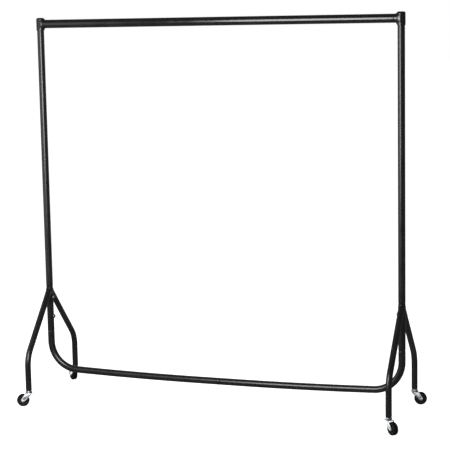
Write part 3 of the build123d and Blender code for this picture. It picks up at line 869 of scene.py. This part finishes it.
def make_bottom_rail():
    """Two halves with a gentle bow, a bend up into each post and a swaged joint in the middle."""
    sizes = bpy.context.scene.rack_sizes
    full, thin = UPRIGHT_RADIUS, sizes.spigot_radius
    bow_run = UPRIGHT_X - sizes.corner_bend - sizes.bow_start
    bow_angle = asin(bow_run / (sizes.bow_radius - sizes.corner_bend))
    bow = [
        (sizes.bow_start + sizes.bow_radius * sin(a), BOTTOM_Z + sizes.bow_radius * (1 - cos(a)))
        for a in (bow_angle * k / BOW_STEPS for k in range(BOW_STEPS + 1))
    ]
    bow_end = Vector((bow[-1][0], 0, bow[-1][1]))
    corner = Vector((UPRIGHT_X, 0, bow_end.z + (UPRIGHT_X - bow_end.x) * tan(bow_angle)))
    swage = POST_BOTTOM - sizes.swage_length
    lower_bolt = bolt_heights()[0]
    upturn = [
        (swage - RING_GUARD, full),
        (swage, full),
        (POST_BOTTOM - sizes.seam, thin),
        (POST_BOTTOM + RING_GUARD, thin),
        *((z, thin) for z in reversed(hole_guards(lower_bolt, sizes.bolt_hole))),
        (BOTTOM_TIP - RING_GUARD, thin),
        (BOTTOM_TIP, thin),
    ]
    upturn_end = Vector((UPRIGHT_X, 0, swage))
    bend = rounded([(bow_end, 0), (corner, sizes.corner_bend), (upturn_end, 0)])[1:-1]
    mouth = sizes.mouth_radius
    starts = {
        "left": [
            (sizes.seam, mouth),
            (sizes.seam + RING_GUARD, mouth),
            (sizes.mouth_length - RING_GUARD / 2, mouth),
            (sizes.mouth_length, full),
            (sizes.mouth_length + RING_GUARD, full),
        ],
        "right": [
            (-sizes.spigot_length, thin),
            (-sizes.spigot_length + RING_GUARD, thin),
            (-RING_GUARD, thin),
            (sizes.seam, thin),
            (sizes.swage_length, full),
            (sizes.swage_length + RING_GUARD, full),
        ],
    }
    for name, side in SIDES.items():
        stations = [(Vector((side * x, 0, BOTTOM_Z)), radius) for x, radius in starts[name]]
        stations += [(Vector((side * x, 0, z)), full) for x, z in bow[:-1]]
        stations += [(Vector((side * point.x, 0, point.z)), full) for point in bend]
        stations += [(Vector((side * UPRIGHT_X, 0, z)), radius) for z, radius in upturn]
        half_rail = tube(f"bottom_tube_{name}", stations, sizes.rim_round, material_for("tube"))
        drill_for_bolt(half_rail, side, lower_bolt)
        hand_over(half_rail, "root", "tube_paint", f"bottom_rail_{name}")


# ------------------------------------------------------------------ corner connectors


EDGE = 0.5 * MM  # rounding of the mould's hidden edges
RING_ROUND = (0.8 * MM, 0.6 * MM)  # of the collar's inner and outer edge
RING_FILLET = 2 * MM
TOP_LIFT = 0.2 * MM  # how much the fillet raises the sleeve's top
PAST_END = 9 * MM  # how far a bore's block runs past the open end
NECK_INSET, SPIGOT_INSET = 1 * MM, 2 * MM  # from the collar's face back into the body
# Rounds in which the fillet grows, rounds with easing, and all rounds.
FILLET_ROUNDS, LOOSE_ROUNDS, ALL_ROUNDS = 10, 11, 14
SLOPE_STEP = 0.02 * MM
FLATTEST = 0.25  # least squared slope that a move is worked out with
LONGEST_MOVE = 0.3 * MM  # of a point in one round
EASING = 0.4  # share of the way to the middle of its neighbours


def turned_block(radial, axial, radius, low, high, low_round, high_round):
    """Distance to a turned block between two heights, with a rounding at each end."""
    round_off = np.where(axial > (low + high) / 2, high_round, low_round)
    beyond_side = radial - (radius - round_off)
    beyond_end = np.abs(axial - (low + high) / 2) - ((high - low) / 2 - round_off)
    outside = np.hypot(np.maximum(beyond_side, 0), np.maximum(beyond_end, 0))
    return outside + np.minimum(np.maximum(beyond_side, beyond_end), 0) - round_off


def joined(first, second, fillet):
    """Union of two distances with a fillet between them."""
    share = np.maximum(fillet - np.abs(first - second), 0) / fillet
    return np.minimum(first, second) - share**2 * fillet / 4


def corner_distance(points, side, share):
    """Distance to one moulded corner with a share of its fillet: sleeve, neck and collar."""
    sizes = bpy.context.scene.corner_sizes
    inwards = (side * UPRIGHT_X - points[:, 0]) * side
    across, height = points[:, 1], points[:, 2]
    upright = np.hypot(inwards, across), height
    rail = np.hypot(across, height - RAIL_Z), inwards
    collar_end = UPRIGHT_X - RAIL_END
    spigot_end = half("tee_right", 0) * 2 - sizes.sleeve_radius
    sleeve_ends = SLEEVE_BOTTOM, SLEEVE_TOP - TOP_LIFT, sizes.foot_round, sizes.top_round
    sleeve = turned_block(*upright, sizes.sleeve_radius, *sleeve_ends)
    neck = turned_block(*rail, sizes.neck_radius, 0, collar_end - NECK_INSET, EDGE, EDGE)
    ring = turned_block(*rail, RAIL_RADIUS, collar_end - sizes.ring_length, collar_end, *RING_ROUND)
    body = joined(joined(sleeve, neck, max(sizes.fillet * share, EDGE)), ring, RING_FILLET)
    spigot_start = collar_end - SPIGOT_INSET
    spigot = turned_block(*rail, sizes.spigot_radius, spigot_start, spigot_end, EDGE, EDGE)
    body = joined(body, spigot, EDGE)
    bore_ends = SLEEVE_BOTTOM - PAST_END, SLEEVE_TOP - sizes.roof
    bore = turned_block(*upright, sizes.bore_radius, *bore_ends, EDGE, EDGE)
    body = -joined(-body, bore, EDGE)
    hollow_radius = sizes.spigot_radius - sizes.spigot_wall
    hollow = turned_block(*rail, hollow_radius, collar_end, spigot_end + PAST_END, EDGE, EDGE)
    return -joined(-body, hollow, EDGE)


def drawn_onto_corner(mesh, side, share):
    """Move a mesh's points onto the surface of a corner, easing them apart on the way.

    The fillet grows from its first share by one part in ten per round, so that no point of the
    outside ever lies closer to the socket than to the surface it belongs to.
    """
    points = coordinates_of(mesh)
    ends = np.empty(len(mesh.edges) * 2, dtype=int)
    mesh.edges.foreach_get("vertices", ends)
    first, second = ends[0::2], ends[1::2]
    neighbours = np.bincount(ends)[:, None]
    for turn in range(ALL_ROUNDS):
        now = min(share + turn / FILLET_ROUNDS, 1.0)
        here = corner_distance(points, side, now)
        slope = np.empty_like(points)
        for axis in range(3):
            shift = np.zeros(3)
            shift[axis] = SLOPE_STEP
            ahead, behind = (corner_distance(points + s, side, now) for s in (shift, -shift))
            slope[:, axis] = (ahead - behind) / (2 * SLOPE_STEP)
        size = np.maximum((slope**2).sum(axis=1), FLATTEST)
        points -= slope * np.clip(here / size, -LONGEST_MOVE, LONGEST_MOVE)[:, None]
        if turn < LOOSE_ROUNDS:
            total = [
                np.bincount(first, row[second], len(row)) + np.bincount(second, row[first], len(row))
                for row in points.T
            ]
            points += EASING * (np.stack(total, axis=1) / neighbours - points)
    mesh.vertices.foreach_set("co", points.ravel())
    mesh.update()


def copied_node(name, node):
    """A merged copy of a CAD node's mesh, as a new object."""
    bm = bmesh.new()
    bm.from_mesh(frame["nodes"][node].data)
    bmesh.ops.remove_doubles(bm, verts=bm.verts, dist=TINY)
    mesh = bpy.data.meshes.new(name)
    bm.to_mesh(mesh)
    bm.free()
    return new_piece(name, mesh)


def make_corner_connectors():
    """Two mouldings, each one smooth skin over the frame's sleeve, neck and collar."""
    sizes = bpy.context.scene.corner_sizes
    for name, side in SIDES.items():
        corner = copied_node(f"corner_{name}", f"tee_{name}")
        for share in (0.1, 1.0):  # the second pass evens out faces that the first one stretched
            even = corner.modifiers.new("even_faces", "REMESH")
            even.mode = "VOXEL"
            even.voxel_size = sizes.grain
            settle(corner)
            drawn_onto_corner(corner.data, side, share)
        shaded(corner.data)
        corner.data.materials.clear()
        corner.data.materials.append(material_for("corner"))
        hand_over(corner, "root", "corner_nylon", f"tee_{name}")


# ------------------------------------------------------------------ bolts


DOME_CROWN = 0.62  # radius of the flat crown, as a share of the head's
DOME_FULLNESS = 0.8  # below 1, the dome bulges more than an ellipse
THREAD_DEPTH = 0.6 * MM
SOCKET_POINT = 0.8 * MM  # depth of the drilled cone under the key socket
CHAMFER = 0.3 * MM
HEAD_ROUND = 0.2 * MM
TIP_CHAMFER = 0.9 * MM
NEAR = 0.1 * MM


def make_locking_bolts():
    """Domed hexagon-socket bolts, one fastener placed at four sites."""
    sizes = bpy.context.scene.bolt_sizes
    head, height, flange = sizes.head_radius, sizes.head_height, sizes.flange
    key, depth = sizes.key_flats / 2, sizes.key_depth
    dome = []
    for angle in (radians(step) for step in range(0, 91, 9)):
        width = DOME_CROWN + (1 - DOME_CROWN) * cos(angle) ** DOME_FULLNESS
        dome.append((flange + (height - flange) * sin(angle), width * head))
    crown = dome[-1][0]
    tip, shank, pitch = -sizes.shank_length, sizes.shank_radius, sizes.thread_pitch
    turns = 2 * int(sizes.shank_length / pitch) - 1
    thread = [(tip + pitch * (k + 1) / 2, shank - THREAD_DEPTH * (1 - k % 2)) for k in range(turns)]
    section = [(crown - depth - SOCKET_POINT, 0), (crown - depth, key)]
    section += [(crown - CHAMFER, key), (crown, key + CHAMFER), *reversed(dome)]
    section += [(HEAD_ROUND, head), (0, head - HEAD_ROUND), (0, shank), *reversed(thread)]
    section += [(tip, shank - TIP_CHAMFER), (tip, 0)]

    def hexagon(along, radius, angle):
        """Widen the socket's rings from a circle to a hexagon."""
        if radius > key + NEAR or along < crown - depth - NEAR:
            return radius
        return radius / cos((angle + pi / 6) % (pi / 3) - pi / 6)

    mesh = turned(section, Vector((0, 0, 0)), Z_AXIS, sides=72, reach=hexagon)
    fastener = new_piece("fastener", mesh, material_for("bolt"))
    sites = [(side, z) for side in SIDES.values() for z in bolt_heights()]
    points = [Vector((side * (UPRIGHT_X - UPRIGHT_RADIUS), 0, z)) for side, z in sites]
    facing = [number for side, z in sites for number in (-side, 0, 0)]
    bolts = grown(
        "hex_socket_bolts",
        points,
        [],
        tree_for(fastener_tree),
        marks=[("facing", "FLOAT_VECTOR", facing)],
        Fastener=fastener,
        Material=material_for("bolt"),
    )
    bpy.data.objects.remove(fastener)
    hand_over(bolts, "root", "bolt_zinc", "locking_bolts")
    frame["nodes"]["spigot_nuts"].data.materials.clear()
    frame["nodes"]["spigot_nuts"].data.materials.append(material_for("bolt"))


# ------------------------------------------------------------------ castors


# Sizes of the castors' parts in millimetres. A part's own box gives its length.
PLUG_BORE, PLUG_RADIUS, PLUG_LIP = 5.1, 10.4, 4
RIBS, RIB_PITCH, RIB_WIDTH, RIB_DEPTH, TOP_RIB = 5, 5, 3, 0.5, 30
STEM_RADIUS, STEM_NECK, STEM_HEAD, STEM_HEAD_HEIGHT = 5, 4, 6.5, 2
SHOULDER_RADIUS, SHOULDER_BOTTOM, SHOULDER_TOP = 8, 61.8, 64
GROOVE_RADIUS, GROOVE_SLOPE, GROOVE_BOTTOM, GROOVE_TOP = 4.2, 0.2, 94, 96
CUP_RADIUS, CUP_BORE, CUP_PLATE, CUP_SKIRT = 13, 4.3, 1.1, 1.3
RIVET_CROWN = 0.75  # radius of a rivet head's flat top, as a share of the head's
WHEEL_DRAFT = 1.2  # slope of the disc's faces, over their depth
HUB_CHAMFER = 0.8
AXLE_FIT = 0.06
TREAD_RIB, TREAD_RIB_FOOT, TREAD_STEP = 0.25, 0.4, 0.12  # the mould line round the tread


def castor_places(corner):
    """Foot of the swivel axis, hub centre and axle direction of one castor."""
    swivel = joint_named(f"swivel_{corner}")["pos_m"]
    hub = Vector(joint_named(f"roll_{corner}")["pos_m"])
    foot = Vector((swivel[0], swivel[1], 0))
    way = Vector((hub.x - foot.x, hub.y - foot.y, 0)).normalized()
    return foot, hub, way.cross(Z_AXIS)


def make_castor_mounts():
    """What stays with the leg: moulded socket, riveted stem and the bearing's upper cup."""
    for corner in CORNERS:
        foot = castor_places(corner)[0]
        nodes = [f"castor_{part}_{corner}" for part in ("socket", "stem", "cup")]
        levels = {node: [end.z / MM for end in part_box(node)] for node in nodes}
        low, high = levels[nodes[0]]
        radius = LEG_RADIUS / MM
        groove = PLUG_RADIUS - RIB_DEPTH
        tops = [low + TOP_RIB - RIB_PITCH * k for k in range(RIBS)]
        ribs = [(z, r, 0) for top in tops for z, r in ((top, PLUG_RADIUS), (top - RIB_WIDTH, groove))]
        socket = outline(
            (low, PLUG_BORE, 0.3), (high, PLUG_BORE, 0.3), (high, PLUG_RADIUS - 1, 0.4),
            (high - 2, PLUG_RADIUS, 0.4), *ribs, (low + PLUG_LIP, PLUG_RADIUS, 0),
            (low + PLUG_LIP, radius, 0.3), (low, radius, 2.2),
        )
        bottom, top = levels[nodes[1]]
        head_top = bottom + STEM_HEAD_HEIGHT
        stem = outline(
            (bottom, 0, 0), (bottom, STEM_HEAD, 1.2), (head_top, STEM_HEAD, 0.2),
            (head_top, STEM_NECK, 0), (SHOULDER_BOTTOM, STEM_NECK, 0),
            (SHOULDER_BOTTOM, SHOULDER_RADIUS, 0.3), (SHOULDER_TOP, SHOULDER_RADIUS, 0.3),
            (SHOULDER_TOP, STEM_RADIUS, 0.2), (GROOVE_BOTTOM, STEM_RADIUS, 0),
            (GROOVE_BOTTOM + GROOVE_SLOPE, GROOVE_RADIUS, 0),
            (GROOVE_TOP - GROOVE_SLOPE, GROOVE_RADIUS, 0), (GROOVE_TOP, STEM_RADIUS, 0),
            (top, STEM_RADIUS, 1), (top, 0, 0),
        )
        foot_of_cup, top_of_cup = levels[nodes[2]]
        plate, skirt = top_of_cup - CUP_PLATE, CUP_RADIUS - CUP_SKIRT
        cup = outline(
            (foot_of_cup, CUP_RADIUS, 0.3), (top_of_cup, CUP_RADIUS, 1.2), (top_of_cup, CUP_BORE, 0.2),
            (plate, CUP_BORE, 0), (plate, skirt, 0.8), (foot_of_cup, skirt, 0.2),
        )
        for node, name, section, look, slot in (
            (nodes[0], "castor_plug", socket, "corner", "corner_nylon"),
            (nodes[1], "castor_spindle", stem, "zinc", "castor_zinc"),
            (nodes[2], "castor_raceway", cup, "zinc", "castor_zinc"),
        ):
            piece = new_piece(f"{name}_{corner}", turned(section, foot, Z_AXIS), material_for(look))
            hand_over(piece, "root", slot, node)


def make_fork(corner, body):
    """Pressed fork: the frame's own folded sheet, with flat faces joined and edges deburred."""
    fork = copied_node(f"castor_yoke_{corner}", f"castor_fork_{corner}")
    bm = bmesh.new()
    bm.from_mesh(fork.data)
    flat = radians(0.6)
    bmesh.ops.dissolve_limit(bm, angle_limit=flat, verts=bm.verts, edges=bm.edges)
    bm.to_mesh(fork.data)
    bm.free()
    deburr = fork.modifiers.new("deburr", "BEVEL")
    deburr.width = 0.3 * MM
    deburr.segments = 2
    deburr.limit_method = "ANGLE"
    deburr.angle_limit = RIM_LIMIT
    settle(fork)
    fork.data.materials.clear()
    fork.data.materials.append(material_for("zinc"))
    hand_over(fork, body, "castor_zinc", f"castor_fork_{corner}")


def make_castor_forks():
    """What swivels: fork, bearing balls and axle rivet."""
    sizes = bpy.context.scene.castor_sizes
    for corner in CORNERS:
        foot, hub, across = castor_places(corner)
        body = f"swivel_{corner}"
        make_fork(corner, body)
        balls_low, balls_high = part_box(f"castor_balls_{corner}")
        ring_radius = (balls_high.x - balls_low.x) / 2 - sizes.ball_radius
        balls = grown(
            f"ball_ring_{corner}",
            [foot],
            [],
            tree_for(ball_tree),
            Count=sizes.ball_count,
            Ring_radius=ring_radius,
            Ball_radius=sizes.ball_radius,
            Centre=Vector((foot.x, foot.y, (balls_low.z + balls_high.z) / 2)),
            Material=material_for("zinc"),
        )
        hand_over(balls, body, "castor_zinc", f"castor_balls_{corner}")
        grip, shaft = sizes.fork_half_width / MM, sizes.axle_radius / MM
        head, height = sizes.rivet_head / MM, sizes.rivet_height / MM
        crown = RIVET_CROWN * head
        rivet = outline(
            (-grip - height, 0, 0), (-grip - height, crown, 0.9), (-grip, head, 0.2), (-grip, shaft, 0),
            (grip, shaft, 0), (grip, head, 0.2), (grip + height, crown, 0.9), (grip + height, 0, 0),
        )
        mesh = turned(rivet, hub, across, sides=64)
        axle = new_piece(f"axle_rivet_{corner}", mesh, material_for("zinc"))
        hand_over(axle, body, "castor_zinc", f"castor_axle_{corner}")


def make_castor_wheels():
    """What rolls: moulded disc and rubber tyre."""
    sizes = bpy.context.scene.castor_sizes
    hub_half, hub_radius = sizes.hub_half_width / MM, sizes.hub_radius / MM
    web, rim_in, rim_out = sizes.web_half / MM, sizes.rim_inner / MM, sizes.rim_radius / MM
    rim_half, bore = sizes.rim_half_width / MM, sizes.axle_radius / MM + AXLE_FIT
    tyre_half, shoulder = sizes.tyre_half_width / MM, sizes.tyre_shoulder / MM
    near_side = [
        (rim_half, rim_out, 0.3), (rim_half, rim_in, 0.8), (web, rim_in - WHEEL_DRAFT, 1.0),
        (web, hub_radius + WHEEL_DRAFT, 1.0), (hub_half - HUB_CHAMFER, hub_radius, 0.4),
        (hub_half, hub_radius - HUB_CHAMFER, 0.4), (hub_half, bore, 0.3),
    ]
    far_side = [(-along, radius, rounding) for along, radius, rounding in reversed(near_side)]
    disc = outline(*near_side, *far_side)
    for corner in CORNERS:
        foot, hub, across = castor_places(corner)
        body = f"wheel_{corner}"
        wheel = new_piece(f"wheel_disc_{corner}", turned(disc, hub, across), material_for("wheel"))
        hand_over(wheel, body, "wheel_nylon", f"castor_wheel_{corner}")
        top = half(f"castor_tyre_{corner}", 2) / MM
        tread = top - TREAD_STEP
        band = outline(
            (-tyre_half, rim_out, 0.3), (-tyre_half, tread, shoulder), (-TREAD_RIB_FOOT, tread, 0),
            (-TREAD_RIB, top, 0), (TREAD_RIB, top, 0), (TREAD_RIB_FOOT, tread, 0),
            (tyre_half, tread, shoulder), (tyre_half, rim_out, 0.3),
        )
        mesh = turned(band, hub, across, sides=128)
        tyre = new_piece(f"wheel_tyre_{corner}", mesh, material_for("tyre"))
        hand_over(tyre, body, "tyre_rubber", f"castor_tyre_{corner}")


# ------------------------------------------------------------------ stage


CAMERA_AZIMUTH, CAMERA_ELEVATION, CAMERA_ROLL = radians(19.76), radians(8.05), radians(-1.08)
CAMERA_TARGET = Vector((0.0332, 0, 0.7324))
CAMERA_DISTANCE = 5.9474
CAMERA_LENS, SENSOR_WIDTH = 120.57, 36  # millimetres
FLOOR_RADIUS = 40
DIM_ROOM, WHITE_BACKDROP = 0.12, 1.0  # what the object sees of the room, and what the camera sees
# Name, place, point it faces, width, height and radiance of each large soft light.
SOFT_LIGHTS = (
    ("tall_softbox", (-0.22, -2.1, 1.52), (-0.22, 0, 1.52), 1.0, 1.6, 13),
    ("side_reflector", (-2.2, -1.6, 1.4), (-0.3, -0.7, 1.2), 2.4, 2.6, 1.2),
    ("back_reflector", (-0.6, 1.8, 1.2), (-0.6, 0, 1.0), 2.6, 2.4, 0.5),
)
# Radiance, distance and size of the small panel that each castor's zinc mirrors.
CASTOR_FILL = {"front_left": 2.4, "front_right": 2.2, "rear_left": 3.0, "rear_right": 1.3}
FILL_DISTANCE = 0.4
FILL_SIZE = (0.3, 0.25)


def camera_back():
    """Direction from the rack to the camera."""
    flat = cos(CAMERA_ELEVATION)
    return Vector((sin(CAMERA_AZIMUTH) * flat, -cos(CAMERA_AZIMUTH) * flat, sin(CAMERA_ELEVATION)))


def camera_place():
    """Where the camera stands."""
    return CAMERA_TARGET + CAMERA_DISTANCE * camera_back()


def soft_panel(name, place, target, width, height, radiance):
    """A large soft light that faces a point, unseen by the camera."""
    light = bpy.data.lights.new(name, "AREA")
    light.shape = "RECTANGLE"
    light.size, light.size_y = width, height
    light.energy = radiance * pi * width * height
    lamp = bpy.data.objects.new(name, light)
    lamp.location = place
    lamp.rotation_euler = (target - place).to_track_quat("-Z", "Y").to_euler()
    lamp.visible_camera = False
    bpy.context.scene.collection.objects.link(lamp)
    return lamp


def make_stage():
    """Pale floor, plain studio light and the camera."""
    floor_mesh = bpy.data.meshes.new("studio_floor")
    bm = bmesh.new()
    bmesh.ops.create_circle(bm, cap_ends=True, segments=96, radius=FLOOR_RADIUS)
    bm.to_mesh(floor_mesh)
    bm.free()
    floor = new_piece("studio_floor", floor_mesh, floor_paint(bpy.context.scene.rack_colours))
    floor.visible_glossy = False  # the black tubes mirror the dim studio, not the floor

    world = bpy.data.worlds.new("studio")
    bpy.context.scene.world = world
    world.use_nodes = True
    tree = world.node_tree
    tree.nodes.clear()
    rays = add(tree, "ShaderNodeLightPath").outputs["Is Camera Ray"]
    around, seen = (
        add(tree, "ShaderNodeBackground", {"Color": (1, 1, 1, 1), "Strength": strength}).outputs[0]
        for strength in (DIM_ROOM, WHITE_BACKDROP)
    )
    both = add(tree, "ShaderNodeMixShader", {0: rays, 1: around, 2: seen}).outputs[0]
    add(tree, "ShaderNodeOutputWorld", {"Surface": both})

    for name, place, target, *panel in SOFT_LIGHTS:
        soft_panel(name, Vector(place), Vector(target), *panel)
    zinc = bpy.data.collections.new("castor_metal")
    for piece in bpy.context.scene.collection.objects:
        if piece.type == "MESH" and material_for("zinc") in list(piece.data.materials):
            zinc.objects.link(piece)
    for corner in CORNERS:
        foot, hub, across = castor_places(corner)
        sight = (camera_place() - hub).normalized()
        mirrored = 2 * across.dot(sight) * across - sight
        place = hub + FILL_DISTANCE * Vector((mirrored.x, mirrored.y, 0)).normalized()
        lamp = soft_panel(f"castor_fill_{corner}", place, hub, *FILL_SIZE, CASTOR_FILL[corner])
        lamp.light_linking.receiver_collection = zinc

    data = bpy.data.cameras.new("camera")
    data.sensor_width = SENSOR_WIDTH
    data.lens = CAMERA_LENS
    data.clip_end = 200
    camera = bpy.data.objects.new("camera", data)
    back, right = camera_back(), Vector((cos(CAMERA_AZIMUTH), sin(CAMERA_AZIMUTH), 0))
    up = back.cross(right)
    turned_right = right * cos(CAMERA_ROLL) + up * sin(CAMERA_ROLL)
    turned_up = up * cos(CAMERA_ROLL) - right * sin(CAMERA_ROLL)
    matrix = Matrix((turned_right, turned_up, back)).transposed().to_4x4()
    matrix.translation = camera_place()
    camera.matrix_world = matrix
    bpy.context.scene.collection.objects.link(camera)
    bpy.context.scene.camera = camera
    bpy.context.scene.view_settings.view_transform = "Standard"


# ------------------------------------------------------------------ operators


class RACK_OT_hanging_rail(bpy.types.Operator):
    """Build the hanging rail"""

    bl_idname = "rack.hanging_rail"
    bl_label = "Hanging rail"

    def execute(self, context):
        make_hanging_rail()
        return {"FINISHED"}


class RACK_OT_corner_connectors(bpy.types.Operator):
    """Build the two moulded corner connectors"""

    bl_idname = "rack.corner_connectors"
    bl_label = "Corner connectors"

    def execute(self, context):
        make_corner_connectors()
        return {"FINISHED"}


class RACK_OT_uprights(bpy.types.Operator):
    """Build the two uprights"""

    bl_idname = "rack.uprights"
    bl_label = "Uprights"

    def execute(self, context):
        make_uprights()
        return {"FINISHED"}


class RACK_OT_end_frames(bpy.types.Operator):
    """Build the posts and legs of the end frames"""

    bl_idname = "rack.end_frames"
    bl_label = "End frames"

    def execute(self, context):
        make_end_frames()
        return {"FINISHED"}


class RACK_OT_weld_beads(bpy.types.Operator):
    """Lay the weld beads round the coped legs"""

    bl_idname = "rack.weld_beads"
    bl_label = "Weld beads"

    def execute(self, context):
        make_weld_beads()
        return {"FINISHED"}


class RACK_OT_bottom_rail(bpy.types.Operator):
    """Build the two halves of the bottom rail"""

    bl_idname = "rack.bottom_rail"
    bl_label = "Bottom rail"

    def execute(self, context):
        make_bottom_rail()
        return {"FINISHED"}


class RACK_OT_locking_bolts(bpy.types.Operator):
    """Build the locking bolts and finish their nuts"""

    bl_idname = "rack.locking_bolts"
    bl_label = "Locking bolts"

    def execute(self, context):
        make_locking_bolts()
        return {"FINISHED"}


class RACK_OT_castor_mounts(bpy.types.Operator):
    """Build the castors' sockets, stems and bearing cups"""

    bl_idname = "rack.castor_mounts"
    bl_label = "Castor mounts"

    def execute(self, context):
        make_castor_mounts()
        return {"FINISHED"}


class RACK_OT_castor_forks(bpy.types.Operator):
    """Build the castors' forks, balls and axles"""

    bl_idname = "rack.castor_forks"
    bl_label = "Castor forks"

    def execute(self, context):
        make_castor_forks()
        return {"FINISHED"}


class RACK_OT_castor_wheels(bpy.types.Operator):
    """Build the castors' wheels and tyres"""

    bl_idname = "rack.castor_wheels"
    bl_label = "Castor wheels"

    def execute(self, context):
        make_castor_wheels()
        return {"FINISHED"}


class RACK_OT_stage(bpy.types.Operator):
    """Set up the floor, the light and the camera"""

    bl_idname = "rack.stage"
    bl_label = "Stage"

    def execute(self, context):
        make_stage()
        return {"FINISHED"}


STEPS = (
    RACK_OT_hanging_rail,
    RACK_OT_corner_connectors,
    RACK_OT_uprights,
    RACK_OT_end_frames,
    RACK_OT_weld_beads,
    RACK_OT_bottom_rail,
    RACK_OT_locking_bolts,
    RACK_OT_castor_mounts,
    RACK_OT_castor_forks,
    RACK_OT_castor_wheels,
    RACK_OT_stage,
)


class RACK_PT_panel(bpy.types.Panel):
    """Lists the steps that build the rack"""

    bl_idname = "RACK_PT_panel"
    bl_label = "Rolling clothes rack"
    bl_space_type = "VIEW_3D"
    bl_region_type = "UI"
    bl_category = "Clothes rack"

    def draw(self, context):
        for step in STEPS:
            self.layout.operator(step.bl_idname)


SETTINGS = {
    "rack_sizes": RackSizes,
    "corner_sizes": CornerSizes,
    "castor_sizes": CastorSizes,
    "weld_sizes": WeldSizes,
    "bolt_sizes": BoltSizes,
    "rack_colours": FinishColours,
}


def register():
    for group in (*SETTINGS.values(), *STEPS, RACK_PT_panel):
        bpy.utils.register_class(group)
    for name, group in SETTINGS.items():
        setattr(bpy.types.Scene, name, PointerProperty(type=group))


def unregister():
    for name in SETTINGS:
        delattr(bpy.types.Scene, name)
    for group in reversed((*SETTINGS.values(), *STEPS, RACK_PT_panel)):
        bpy.utils.unregister_class(group)


def main():
    """Build everything in order."""
    register()
    for step in STEPS:
        family, name = step.bl_idname.split(".")
        getattr(getattr(bpy.ops, family), name)()


if __name__ == "__main__":
    main()
